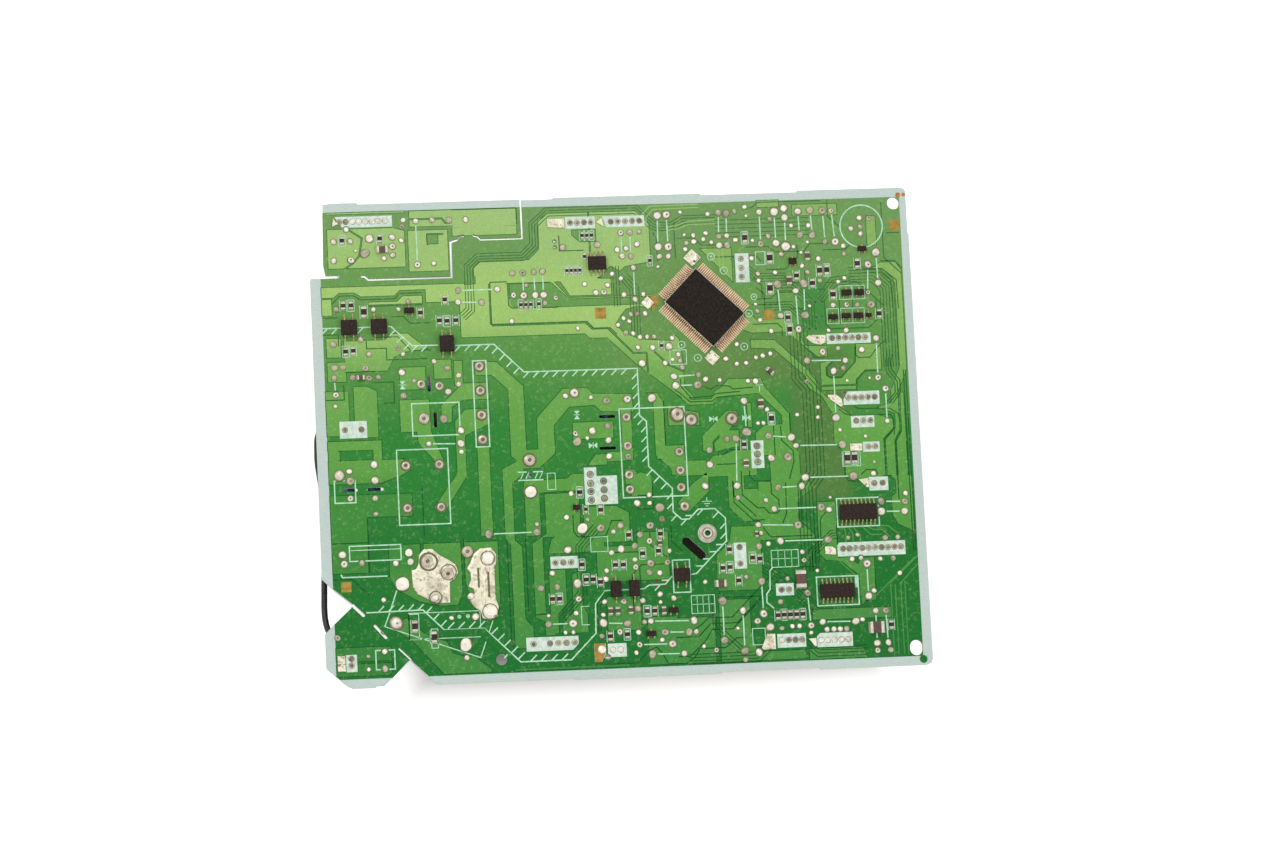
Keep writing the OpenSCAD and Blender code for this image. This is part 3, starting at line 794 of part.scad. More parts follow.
module capacitor_sleeve() {
    color("#26324a") place() hang(main_cap_centre) radial_sleeve(main_cap_d, stand_h - low_clear, low_clear);
}

module electrolytic_cans() {
    color("#c8ccd0") place() for (e = electrolytics) between(e) radial_can(e[6], e[7], clear);
}

module electrolytic_sleeves() {
    color("#1d2733") place() for (e = electrolytics) between(e) radial_sleeve(e[6], e[7], clear);
}

// Rounded rectangle
module rounded(l, w, r) {
    square([l - 2 * r, w], center = true);
    square([l, w - 2 * r], center = true);
    for (x = [-1, 1], y = [-1, 1]) translate([x * (l / 2 - r), y * (w / 2 - r)]) circle(r = r);
}

// Common-mode choke: a closed ferrite frame standing up, with a winding on each leg
filter_leg = 5;
filter_leg_y = 5.7;
filter_base = 3;
filter_flange = 1;

module filter_core() {
    color("#3a3735") place() hang(filter_centre) difference() {
        translate([-filter_leg / 2, -filter_leg_y - filter_leg / 2, filter_base])
            cube([filter_leg, 2 * filter_leg_y + filter_leg, stand_h - filter_base]);
        translate([-filter_leg, -filter_leg_y + filter_leg / 2, filter_base + filter_leg])
            cube([2 * filter_leg, 2 * filter_leg_y - filter_leg, stand_h - filter_base - 2 * filter_leg]);
    }
}

module filter_bobbin() {
    low = filter_base + filter_leg;
    high = stand_h - filter_leg;
    color("#e9e4d6") place() hang(filter_centre) {
        difference() {
            translate([0, 0, low_clear]) linear_extrude(filter_base - low_clear) rounded(15, 22.4, 1);
            translate([-2, -6, 0]) cube([4, 12, filter_base - 1]);
        }
        for (s = [-1, 1]) translate([0, s * filter_leg_y, 0]) difference() {
            union() {
                at([0, 0], low) cylinder(r = 5.4, h = filter_flange);
                at([0, 0], high - filter_flange) cylinder(r = 5.4, h = filter_flange);
                at([0, 0], low) cylinder(r = 3.9, h = high - low);
            }
            translate([-filter_leg / 2, -filter_leg / 2, low - 1])
                cube([filter_leg, filter_leg, high - low + 2]);
        }
    }
}

// Outer profile of a layer of wire: one bump for each turn
function turns(r_in, r_out, z, n, pitch) = concat([[r_in, z], [r_out - pitch / 3, z]],
    [for (i = [0:n - 1], k = [0.15, 0.5, 0.85]) [k == 0.5 ? r_out : r_out - pitch / 5, z + (i + k) * pitch]],
    [[r_out - pitch / 3, z + n * pitch], [r_in, z + n * pitch]]);

module filter_windings() {
    low = filter_base + filter_leg + filter_flange;
    n = 16;
    color("#b5652a") place() hang(filter_centre) for (s = [-1, 1]) translate([0, s * filter_leg_y, 0])
        rotate_extrude() polygon(turns(3.9, 5.2, low, n, (stand_h - filter_leg - filter_flange - low) / n));
}

// Switching transformer: E cores round an upright bobbin with a pin rail along each side
yoke = 4.6;
core_l = 26.8;
core_d = 10;
core_base = 4;
centre_leg_r = 4.3;

module transformer_core() {
    color("#45423f") place() hang(transformer_centre) difference() {
        translate([-core_d / 2, -core_l / 2, core_base]) cube([core_d, core_l, stand_h - core_base]);
        difference() {
            translate([-core_d, -core_l / 2 + yoke, core_base + yoke])
                cube([2 * core_d, core_l - 2 * yoke, stand_h - core_base - 2 * yoke]);
            cylinder(r = centre_leg_r, h = stand_h);
        }
    }
}

module transformer_bobbin() {
    low = core_base + yoke;
    high = stand_h - yoke;
    color("#2c2a28") place() hang(transformer_centre) {
        for (s = [-1, 1]) translate([s * 7.85 - 1.9, -12.6, low_clear])
            cube([3.8, 25.2, core_base + yoke - low_clear]);
        difference() {
            union() {
                translate([-9.75, -8.5, low]) cube([19.5, 17, 1]);
                translate([-9, -8.5, high - 1]) cube([18, 17, 1]);
                at([0, 0], low) cylinder(r = 5.4, h = high - low);
            }
            at([0, 0], low - 1) cylinder(r = centre_leg_r + 0.1, h = high - low + 2);
        }
    }
}

module transformer_winding() {
    low = core_base + yoke + 1;
    high = stand_h - yoke - 1;
    color("#d9b23c") place() hang(transformer_centre) rotate_extrude()
        polygon([[5.4, low], [8, low], [8.3, low + 0.4], [8.3, high - 0.4], [8, high], [5.4, high]]);
}

module relay_cover() {
    color("#1c1c1e") place() hang(relay_centre, relay_angle) difference() {
        translate([0, 0, clear + 2.2]) linear_extrude(relay_h - clear - 2.2) rounded(relay_l, relay_w, 0.8);
        at([relay_l / 2 - 3, relay_w / 2 - 3], relay_h - 0.4) cylinder(r = 0.8, h = 1);
    }
}

module relay_base() {
    color("#3b3b3d") place() hang(relay_centre, relay_angle)
        translate([0, 0, clear]) linear_extrude(2.2) rounded(relay_l - 0.6, relay_w - 0.6, 0.8);
}

// Flat package standing on its leads, with a bevelled corner: x is the row of leads
module bridge_rectifier() {
    color("#252322") place() hang(rectifier_centre, 90) rotate([90, 0, 0]) linear_extrude(4, center = true)
        difference() {
            polygon([[-12.5, package_base], [12.5, package_base], [12.5, 19], [-9.5, 19], [-12.5, 16]]);
            translate([0, 15.5]) circle(r = 1.6);
        }
}

// Fully moulded power package with its fixing hole and side notches
module power_package() {
    difference() {
        translate([-2.25, -5.1, package_base + 1]) cube([4.5, 10.2, 15.6]);
        translate([-5, 0, package_base + 13]) rotate([0, 90, 0]) cylinder(r = 1.6, h = 10);
        for (s = [-1, 1]) translate([-5, s * 5.1, package_base + 13]) rotate([0, 90, 0])
            cylinder(r = 0.9, h = 10);
        translate([1.2, -6, package_base + 10.6]) cube([2, 12, 10]);
    }
}

module power_switch_ic() {
    color("#232120") place() hang(power_ic_centre) power_package();
}

module voltage_regulator() {
    color("#232120") place() hang(regulator_centre) power_package();
}

// Lens-edged disc on two leads, standing in the plane of its leads
module disc_body(d, t, pitch, base) {
    difference() {
        translate([0, 0, base + d / 2]) rotate([90, 0, 0]) rotate_extrude()
            polygon([[0, -t / 2], [d / 2 - t / 3, -t / 2],
            [d / 2, -t / 6], [d / 2, t / 6], [d / 2 - t / 3, t / 2], [0, t / 2]]);
        for (s = [-1, 1]) translate([s * pitch / 2, 0, 0])
            cylinder(r = pin_r + eps, h = base + d / 2, $fn = 16);
    }
}

disc_base = 2;
varistor_pairs = [concat(varistor_pins[0], varistor_pins[1]), concat(varistor_pins[2], varistor_pins[3])];
ntc_pair = concat(ntc_pins[0], ntc_pins[1]);
ntc_d = 13;
function disc_d(r) = span(r) > 7 ? 10 : span(r) > 5 ? 8.5 : 6;

module surge_thermistor() {
    color("#2e3b33") place() between(ntc_pair) disc_body(ntc_d, 4.6, span(ntc_pair), disc_base);
}

module varistors() {
    color("#27538c") place() for (v = varistor_pairs) between(v) disc_body(varistor_d, 4, span(v), disc_base);
}

module disc_capacitors() {
    color("#2c6aa0") place() for (c = discs) between(c) disc_body(disc_d(c), 2.4, span(c), disc_base);
}

module film_capacitors() {
    color("#b9402e") place() for (f = films) between(f) translate([0, 0, clear])
        linear_extrude(7.5) rounded(span(f) + 2.6, 3.2, 0.3);
}

body_z = clear + 1.6;

// Resistor bodies with the wider end beads
module axial_resistors() {
    color("#c9b48a") place() for (r = resistors) between(r) translate([0, 0, body_z]) rotate([0, 90, 0])
        rotate_extrude() let (l = span(r) / 2 - 1.6)
            polygon([[0, -l], [0.9, -l], [1.2, -l + 0.3], [1.2, -l + 1],
            [1, -l + 1.3], [1, l - 1.3], [1.2, l - 1], [1.2, l - 0.3], [0.9, l], [0, l]]);
}

module axial_diodes() {
    color("#2a2827") place() for (r = diodes) between(r) translate([0, 0, body_z]) rotate([0, 90, 0])
        cylinder(r = span(r) > 9 ? 1.6 : 1.3, h = span(r) - 4, center = true);
}

module leaded_transistors() {
    color("#232120") place() hang(transistor_pins[1]) translate([0, 0, 3]) linear_extrude(5) difference() {
        circle(r = 2.4);
        translate([1.2, -3]) square([3, 6]);
    }
}

module ceramic_resonator() {
    color("#c4702e") place() hang(resonator_centre) translate([0, 0, clear]) linear_extrude(5.5)
        rounded(7, 2.6, 0.6);
}

module buzzer() {
    color("#1f1f20") place() hang(buzzer_centre) difference() {
        translate([0, 0, low_clear]) cylinder(r = buzzer_r - 0.4, h = 9);
        at([0, 0], 3) cylinder(r = 1.1, h = 10);
        at([0, 0], low_clear + 8.5) difference() {
            cylinder(r = 4.6, h = 2);
            cylinder(r = 2.4, h = 2);
        }
    }
}

module fuse_tube() {
    color("#d8e4e0") place() hang(fuse_axis) translate([0, 0, fuse_z]) rotate([0, 90, 0]) difference() {
        cylinder(r = fuse_r - 0.2, h = fuse_l - 10, center = true);
        cylinder(r = fuse_r - 0.9, h = fuse_l, center = true);
    }
}

module fuse_caps() {
    color("#b8bcc0") place() hang(fuse_axis) for (a = [0, 180]) rotate(a)
        translate([fuse_l / 2 - 5, 0, fuse_z])
        rotate([0, 90, 0]) cylinder(r = fuse_r, h = 5);
}

// Spring clip: a ring open at the side away from the board, on a foot with two legs
module fuse_clips() {
    color("#c3b48c") place() hang(fuse_axis) for (a = [0, 180]) rotate(a)
        translate([fuse_l / 2 - 2.3, 0, fuse_z])
        rotate([90, 0, 90]) linear_extrude(3.6, center = true) {
            difference() {
                circle(r = fuse_r + 0.45);
                circle(r = fuse_r + eps);
                translate([-1.5, 1]) square([3, 3]);
            }
            translate([-2.1, -fuse_z + clear]) square([4.2, fuse_z - clear - fuse_r - 0.05]);
        }
}

// Push-on tab: a blade with a chamfered tip and a hole, on two legs
module tab_terminals() {
    color("#cfc9b8") place() for (i = [0, 2]) between(concat(tab_pins[i], tab_pins[i + 1])) {
        s = norm([tab_pins[i].x - tab_pins[i + 1].x, tab_pins[i].y - tab_pins[i + 1].y]) / 2;
        rotate([90, 0, 0]) linear_extrude(0.8, center = true) difference() {
            polygon([[-s - 0.3, -board_t], [-s + 0.3, -board_t], [-s + 0.3, clear], [s - 0.3, clear],
                [s - 0.3, -board_t],
                [s + 0.3, -board_t], [s + 0.3, 3.4], [3.15, 3.4], [3.15, 10.4], [2.2, 11.4], [-2.2, 11.4],
                [-3.15, 10.4], [-3.15, 3.4], [-s - 0.3, 3.4]]);
            translate([0, 8]) circle(r = 0.9);
        }
    }
}

// Pin header housing: an open box round its pins, with a keying slot in one long wall
module header_housing(h) {
    n = h[4];
    pitch = norm([h[2], h[3]]);
    l = (n - 1) * pitch + 4;
    hang([h[0], h[1]], atan2(h[3], h[2])) difference() {
        translate([-2, -header_w / 2, 0]) cube([l, header_w, header_h]);
        translate([header_wall - 2, header_wall - header_w / 2, 1.6])
            cube([l - 2 * header_wall, header_w - 2 * header_wall, header_h]);
        for (x = [-0.4, l - 4.6]) translate([x, -header_w, 3]) cube([1, header_w, header_h]);
        for (i = [0:n - 1]) translate([i * pitch, 0, -1]) cylinder(r = header_pin * 0.75, h = 5, $fn = 16);
    }
}

module connectors_2_way() {
    color("#e8e6dc") place() for (h = headers_2) header_housing(h);
}

module connectors_3_way() {
    color("#e8e6dc") place() for (h = headers_3) header_housing(h);
}

module connectors_4_way() {
    color("#e8e6dc") place() for (h = headers_4) header_housing(h);
}

module connectors_5_way() {
    color("#e8e6dc") place() for (h = headers_5) header_housing(h);
}

module connectors_6_way() {
    color("#e8e6dc") place() for (h = headers_6) header_housing(h);
}

module long_connectors() {
    color("#e8e6dc") place() for (h = [header_8, header_10]) header_housing(h);
}

module power_connectors() {
    color("#e8e6dc") place() for (h = [header_mains, header_ntc]) header_housing(h);
}

module header_contacts() {
    color("#c9b27a") place() for (p = header_joints) hang(p)
        translate([-header_pin / 2, -header_pin / 2, -board_t])
            cube([header_pin, header_pin, board_t + header_h - 1]);
}

// Straight pins from the top of the laminate down to each body's own depth
module pins(list, depth) {
    for (p = list) hang(p) translate([0, 0, -board_t]) cylinder(r = pin_r, h = board_t + depth, $fn = 16);
}

// A formed lead of the power package, from its hole to the middle of the package
module formed_lead(p, centre) {
    s = p[0] - centre[0];
    hang([centre[0], p[1]]) rotate([90, 0, 0]) linear_extrude(0.7, center = true) polygon(s == 0
        ? [[-0.25, -board_t], [0.25, -board_t], [0.25, package_base + 1], [-0.25, package_base + 1]]
        : [[s - 0.25, -board_t], [s + 0.25, -board_t], [s + 0.25, 2.4], [0.25, 4.4], [0.25, package_base + 1],
        [-0.25, package_base + 1], [-0.25, 4.4], [s - 0.25, 2.4]]);
}

// Leads of axial parts: down from the board, then in to the body's end, which is gap from the lead's own axis
module bent_pins(list, gap) {
    pins(pin_pairs(list), body_z + pin_r);
    for (r = list) between(r) for (a = [0, 180]) rotate(a) translate([span(r) / 2 - gap, 0, body_z])
        rotate([0, 90, 0]) cylinder(r = pin_r - 0.05, h = gap, $fn = 16);
}

module component_pins() {
    color("#c9c6bb") place() {
        pins(pin_pairs(electrolytics), clear);
        pins(capacitor_pins, low_clear);
        pins(pin_pairs(films), clear);
        for (c = discs) pins(pin_pairs([c]), disc_base + disc_d(c) / 2);
        pins(ntc_pins, disc_base + ntc_d / 2);
        pins(varistor_pins, disc_base + varistor_d / 2);
        pins(concat(filter_pins, transformer_pins), low_clear);
        pins(relay_pins, clear);
        pins(concat(fuse_pins, resonator_pins), clear);
        pins(buzzer_pins, low_clear);
        pins(rectifier_pins, package_base);
        pins(transistor_pins, 3);
        pins(lead_joints, 0);
        for (p = power_ic_pins) formed_lead(p, power_ic_centre);
        for (p = regulator_pins) formed_lead([regulator_centre.x, p.y], regulator_centre);
        bent_pins(resistors, 1.6);
        bent_pins(diodes, 2);
    }
}

module jumper_wires() {
    color("#c9c9c6") place() for (j = jumpers) between(j) {
        for (s = [-1, 1]) translate([s * span(j) / 2, 0, -board_t])
            cylinder(r = wire_r, h = board_t + 2 * wire_r, $fn = 16);
        translate([0, 0, wire_r * 1.5]) rotate([0, 90, 0])
            cylinder(r = wire_r, h = span(j), center = true, $fn = 16);
    }
}

// Directions along the route: the mean of the steps to and from each point
function route_step(r, i) = let (a = r[max(i - 1, 0)], b = r[min(i + 1, len(r) - 1)]) (b - a) / norm(b - a);
function ring(p, t, r, n) = let (s = cross(t, [0.3, 0.9, 0.2]), x = s / norm(s), y = cross(t, x))
    [for (k = [0:n - 1]) p + r * (cos(360 * k / n) * x + sin(360 * k / n) * y)];

module tube(route, d, n) {
    m = len(route);
    polyhedron(
        points = [for (i = [0:m - 1]) each ring(route[i], route_step(route, i), d / 2, n)],
        faces = concat([[for (k = [0:n - 1]) n - 1 - k]], [[for (k = [0:n - 1]) (m - 1) * n + k]],
            [for (i = [0:m - 2], k = [0:n - 1]) let (k2 = (k + 1) % n)
                [i * n + k, i * n + k2, (i + 1) * n + k2, (i + 1) * n + k]]));
}

module black_lead() {
    color("#1b1a1a") place() tube(lead_route, lead_d, lead_sides);
}

circuit_board();
solder_resist();
copper_pattern();
silkscreen_lines();
silkscreen_fields();
solder_joints();
connector_joints();
flooded_lands();
test_pads();
earth_eyelet();
microcontroller_package();
microcontroller_leads();
microcontroller_lands();
driver_ics();
memory_ic();
gull_wing_leads();
photocouplers();
chip_resistors();
chip_capacitors();
chip_terminals();
small_transistors();
capacitor_can();
capacitor_sleeve();
filter_core();
filter_bobbin();
filter_windings();
transformer_core();
transformer_bobbin();
transformer_winding();
relay_cover();
relay_base();
bridge_rectifier();
power_switch_ic();
surge_thermistor();
varistors();
fuse_tube();
fuse_caps();
fuse_clips();
tab_terminals();
buzzer();
electrolytic_cans();
electrolytic_sleeves();
film_capacitors();
disc_capacitors();
axial_resistors();
axial_diodes();
leaded_transistors();
ceramic_resonator();
voltage_regulator();
power_connectors();
connectors_2_way();
connectors_3_way();
connectors_4_way();
connectors_5_way();
connectors_6_way();
long_connectors();
header_contacts();
component_pins();
jumper_wires();
black_lead();
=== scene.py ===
import math
import random

import bpy
import numpy as np
from mathutils import Matrix, Vector, noise
from mathutils.bvhtree import BVHTree


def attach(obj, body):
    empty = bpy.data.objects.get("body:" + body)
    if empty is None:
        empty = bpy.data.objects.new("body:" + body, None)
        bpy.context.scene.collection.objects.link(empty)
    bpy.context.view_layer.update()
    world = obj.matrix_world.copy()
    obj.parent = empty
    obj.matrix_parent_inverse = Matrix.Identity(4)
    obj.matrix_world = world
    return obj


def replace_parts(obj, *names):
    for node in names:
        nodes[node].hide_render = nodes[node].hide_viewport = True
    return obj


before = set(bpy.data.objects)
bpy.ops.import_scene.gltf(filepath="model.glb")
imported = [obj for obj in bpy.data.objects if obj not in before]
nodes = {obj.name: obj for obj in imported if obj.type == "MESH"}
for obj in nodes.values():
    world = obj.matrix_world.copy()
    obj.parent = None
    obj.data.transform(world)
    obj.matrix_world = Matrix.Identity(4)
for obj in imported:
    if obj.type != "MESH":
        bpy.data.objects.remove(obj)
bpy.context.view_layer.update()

# Board millimetres: its sides, and the heights of the resist, the print and the solder on the flooded lands
W, H = 185.0, 148.0
COAT = 31.66
PRINT = 31.70
FLOOD_TOP = COAT + 0.53
# Widths of printed strokes
STROKE, THIN = 0.24, 0.22


def add_object(name, data):
    o = bpy.data.objects.new(name, data)
    bpy.context.scene.collection.objects.link(o)
    return o


# ---------------------------------------------------------------- camera

# The photograph's size and focal length in pixels, its turn as an axis times an angle, and the eye's place
IMAGE_W, FOCAL_PX = 1280.0, 4740.5
TURN = Vector((-0.124946, 0.115171, 0.042965))
EYE = Vector((-163.307, -174.820, 1455.657)) * 0.001


def camera():
    data = bpy.data.cameras.new("camera")
    data.sensor_fit = "HORIZONTAL"
    data.sensor_width = 36.0
    data.lens = FOCAL_PX / IMAGE_W * 36.0
    data.clip_start = 0.05
    data.clip_end = 20
    o = add_object("camera", data)
    r = Matrix.Rotation(TURN.length, 3, TURN.normalized()).transposed()
    o.matrix_world = Matrix.Translation(EYE) @ r.to_4x4()
    bpy.context.scene.camera = o


camera()


# ---------------------------------------------------------------- helpers

def lin(r, g, b):
    """8-bit sRGB to linear RGBA."""
    out = []
    for c in (r, g, b):
        c = c / 255.0
        out.append(c / 12.92 if c <= 0.04045 else ((c + 0.055) / 1.055) ** 2.4)
    return (*out, 1.0)


def pos(u, v, z=COAT):
    """Board millimetres to metres in the row frame."""
    return ((u - W / 2) * 0.001, (v - H / 2) * 0.001, z * 0.001)


def placed(u, v, angle):
    """A function that turns local millimetres by an angle and moves them to (u, v)."""
    c, s = math.cos(angle), math.sin(angle)
    return lambda x, y: (u + c * x - s * y, v + s * x + c * y)


def circle(n):
    return [2 * math.pi * k / n for k in range(n)]


def mitres(path, closed=False):
    """Each point of a path, the unit vector across it there, and its cosine to that of the first side."""
    pts = [Vector(p) for p in path]
    last = len(pts) - 1
    out = []
    for i, p in enumerate(pts):
        if closed:
            a, b = pts[i - 1 if i else last - 1], pts[i + 1 if i < last else 1]
        else:
            a, b = pts[max(i - 1, 0)], pts[min(i + 1, last)]
        d1 = (p - a).normalized() if (p - a).length > 1e-6 else (b - p).normalized()
        d2 = (b - p).normalized() if (b - p).length > 1e-6 else d1
        n1, n2 = Vector((-d1.y, d1.x)), Vector((-d2.y, d2.x))
        m = (n1 + n2).normalized() if (n1 + n2).length > 1e-6 else n1
        out.append((p, m, m.dot(n1)))
    return out


def points(flat):
    """x, y, x, y ... as points."""
    return list(zip(flat[::2], flat[1::2]))


def paths(rows):
    return [points(row) for row in rows]


def middle(lo, hi):
    return (lo[0] + hi[0]) / 2, (lo[1] + hi[1]) / 2


def in_boxes(boxes, u, v):
    return any(u0 <= u <= u1 and v0 <= v <= v1 for u0, v0, u1, v1 in boxes)


class Flat:
    """Collects faces in board millimetres for one object."""

    def __init__(self, name):
        self.name, self.verts, self.faces = name, [], []

    def add(self, verts, faces):
        o = len(self.verts)
        self.verts += verts
        self.faces += [tuple(o + i for i in f) for f in faces]

    def poly(self, pts, z):
        self.add([(p[0], p[1], z) for p in pts], [tuple(range(len(pts)))])

    def rect(self, u0, v0, u1, v1, z):
        self.poly([(u0, v0), (u1, v0), (u1, v1), (u0, v1)], z)

    def frame(self, u0, v0, u1, v1, w, z):
        self.line([(u0, v0), (u1, v0), (u1, v1), (u0, v1), (u0, v0)], w, z, closed=True)

    def disc(self, u, v, r, z, n=20, squash=1.0, turn=0.0):
        q = placed(u, v, turn)
        self.poly([q(r * math.cos(a), r * squash * math.sin(a)) for a in circle(n)], z)

    def ring(self, u, v, r0, r1, z, n=24, a0=0.0, a1=360.0):
        full = abs(a1 - a0) >= 360
        m = n if full else n + 1
        vs, fs = [], []
        for k in range(m):
            a = math.radians(a0 + (a1 - a0) * k / n)
            vs += [(u + r * math.cos(a), v + r * math.sin(a), z) for r in (r0, r1)]
        for k in range(n):
            i, j = 2 * k, 2 * ((k + 1) % m)
            fs.append((i, i + 1, j + 1, j))
        self.add(vs, fs)

    def line(self, pts, w, z, closed=False):
        """A flat ribbon with mitred corners."""
        n = len(pts)
        left, right = [], []
        for p, m, cos in mitres(pts, closed):
            k = min(1.0 / max(cos, 0.35), 2.5) * w / 2
            left.append(p + m * k)
            right.append(p - m * k)
        vs = [(q.x, q.y, z) for q in left + right]
        fs = [(n + i, n + i + 1, i + 1, i) for i in range(n - 1)]
        self.add(vs, fs)

    def build(self, look, slot, smooth=False):
        mesh = bpy.data.meshes.new(self.name)
        mesh.from_pydata([pos(*v) for v in self.verts], [], self.faces)
        mesh.update()
        if smooth:
            mesh.polygons.foreach_set("use_smooth", [True] * len(mesh.polygons))
        o = add_object(self.name, mesh)
        mesh.materials.append(M[look])
        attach(o, "root")
        return o


def islands(name):
    """Lowest and highest corner of each connected piece of a CAD node, in board millimetres."""
    me = nodes[name].data
    n = len(me.vertices)
    co = np.zeros(n * 3)
    me.vertices.foreach_get("co", co)
    co = co.reshape(-1, 3) * 1000 + [W / 2, H / 2, 0]
    key = {}
    ident = np.zeros(n, int)
    for i, c in enumerate(map(tuple, np.round(co, 3))):
        ident[i] = key.setdefault(c, len(key))
    parent = list(range(len(key)))

    def find(a):
        while parent[a] != a:
            parent[a] = parent[parent[a]]
            a = parent[a]
        return a

    ed = np.zeros(len(me.edges) * 2, int)
    me.edges.foreach_get("vertices", ed)
    for a, b in ident[ed.reshape(-1, 2)]:
        ra, rb = find(a), find(b)
        if ra != rb:
            parent[ra] = rb
    root = np.array([find(i) for i in ident])
    return [(co[root == r].min(0), co[root == r].max(0)) for r in np.unique(root)]


# ---------------------------------------------------------------- materials

M = {}


class Mat:
    """A node material on Principled BSDF, kept in M, with short names for its usual parts."""

    def __init__(self, name, rough=0.5, metal=0.0, spec=0.5, coat=0.0, coat_rough=0.1):
        self.m = M[name] = bpy.data.materials.new(name + "_look")
        self.m.use_nodes = True
        self.nt = self.m.node_tree
        self.b = self.nt.nodes["Principled BSDF"]
        self.set("Roughness", rough)
        self.set("Metallic", metal)
        self.set("Specular IOR Level", spec)
        self.set("Coat Weight", coat)
        self.set("Coat Roughness", coat_rough)

    def set(self, key, value):
        self.b.inputs[key].default_value = value

    def node(self, kind, **props):
        n = self.nt.nodes.new(kind)
        for k, v in props.items():
            setattr(n, k, v)
        return n

    def put(self, socket, value):
        if hasattr(value, "is_output"):
            self.nt.links.new(value, socket)
        else:
            socket.default_value = value

    def fill(self, n, **values):
        """Set or link a node's inputs by name, with _ for a space, and return its first output."""
        for k, v in values.items():
            self.put(n.inputs[k.replace("_", " ")], v)
        return n.outputs[0]

    def math(self, op, a, b=None, clamp=False):
        n = self.node("ShaderNodeMath", operation=op, use_clamp=clamp)
        self.put(n.inputs[0], a)
        if b is not None:
            self.put(n.inputs[1], b)
        return n.outputs[0]

    def place(self):
        return self.node("ShaderNodeNewGeometry").outputs["Position"]

    def xyz(self):
        s = self.node("ShaderNodeSeparateXYZ")
        self.put(s.inputs[0], self.place())
        return s.outputs

    def noise(self, scale, detail=3.0, rough=0.6, stretch=None, lo=0.3, hi=0.7):
        """Noise by place, stretched so that lo..hi becomes 0..1. scale is in features a metre."""
        v = self.place()
        if stretch:
            v = self.fill(self.node("ShaderNodeMapping"), Vector=v, Scale=stretch)
        t = self.node("ShaderNodeTexNoise")
        self.fill(t, Vector=v, Scale=scale, Detail=detail, Roughness=rough)
        return self.ranged(t.outputs["Fac"], lo, hi)

    def wave(self, direction, scale, distortion=0.0):
        """Bands across a direction, by place."""
        w = self.node("ShaderNodeTexWave", wave_type="BANDS", bands_direction=direction)
        self.fill(w, Vector=self.place(), Scale=scale, Distortion=distortion)
        return w.outputs["Fac"]

    def mix(self, fac, a, b, kind="MIX"):
        n = self.node("ShaderNodeMix", data_type="RGBA", blend_type=kind)
        self.put(n.inputs[0], fac)
        self.put(n.inputs[6], a)
        self.put(n.inputs[7], b)
        return n.outputs[2]

    def ramp(self, fac, stops):
        n = self.node("ShaderNodeValToRGB")
        self.put(n.inputs[0], fac)
        cr = n.color_ramp
        while len(cr.elements) < len(stops):
            cr.elements.new(0.5)
        for e, (p, c) in zip(cr.elements, stops):
            e.position = p
            e.color = c
        return n.outputs[0]

    def ranged(self, value, a0, a1, b0=0.0, b1=1.0, smooth=False):
        n = self.node("ShaderNodeMapRange")
        if smooth:
            n.interpolation_type = "SMOOTHSTEP"
        return self.fill(n, Value=value, From_Min=a0, From_Max=a1, To_Min=b0, To_Max=b1)

    def area(self, u0, v0, u1, v1, soft):
        """1 inside a rectangle of the board, 0 outside, blended over soft millimetres."""
        x, y, _ = self.xyz()
        cx, cy = pos((u0 + u1) / 2, (v0 + v1) / 2)[:2]
        dx = self.math("SUBTRACT", self.math("ABSOLUTE", self.math("SUBTRACT", x, cx)), (u1 - u0) / 2000)
        dy = self.math("SUBTRACT", self.math("ABSOLUTE", self.math("SUBTRACT", y, cy)), (v1 - v0) / 2000)
        return self.ranged(self.math("MAXIMUM", dx, dy), -soft / 2000, soft / 2000, 1.0, 0.0, smooth=True)

    def bump(self, height, strength=0.3, distance=0.0002):
        n = self.node("ShaderNodeBump")
        self.put(self.b.inputs["Normal"], self.fill(n, Strength=strength, Distance=distance, Height=height))

    def colour(self, value):
        self.put(self.b.inputs["Base Color"], value)


def plain(name, base, dark, scale=400, rough=0.5, metal=0.0, bump=0.15, spec=0.5, coat=0.0, lo=0.35, hi=0.65):
    """A material that wanders between two close colours, with a fine bump."""
    m = Mat(name, rough, metal, spec, coat)
    f = m.noise(scale, lo=lo, hi=hi)
    m.colour(m.mix(f, lin(*base), lin(*dark)))
    m.put(m.b.inputs["Roughness"], m.ranged(f, 0, 1, max(rough - 0.08, 0.05), min(rough + 0.08, 1)))
    m.bump(m.noise(scale * 5, 2), bump, 0.0001)


def resist(name, low, mid, high, areas, rough=0.38):
    """Solder resist: its tone changes up the board, with patches, weave and fine grain."""
    m = Mat(name, rough, 0.0, 0.12, 0.04, 0.2)
    t = m.ranged(m.xyz()[1], -H / 2000, H / 2000)
    t = m.math("ADD", t, m.ranged(m.noise(22, 2), 0, 1, -0.05, 0.05), clamp=True)
    c = m.ramp(t, [(0.0, lin(*low[0])), (0.3, lin(*low[1])), (0.5, lin(*mid[0])), (0.64, lin(*mid[1])),
                   (0.78, lin(*high[0])), (1.0, lin(*high[1]))])
    for u0, v0, u1, v1, soft, rgb, k in areas:
        c = m.mix(m.math("MULTIPLY", m.area(u0, v0, u1, v1, soft), k), c, lin(*rgb))
    grain = m.noise(2200, 2, 0.8)
    c = m.mix(m.ranged(grain, 0, 1, 0.0, 0.22), c, lin(20, 60, 20), "MULTIPLY")
    speck = m.noise(900, 3, 0.7, lo=0.55, hi=0.75)
    m.colour(m.mix(m.math("MULTIPLY", speck, 0.22), c, lin(200, 225, 160)))
    m.bump(m.math("ADD", m.noise(1500, 3), m.math("MULTIPLY", m.wave("X", 260, 1.5), 0.3)), 0.12, 0.0001)


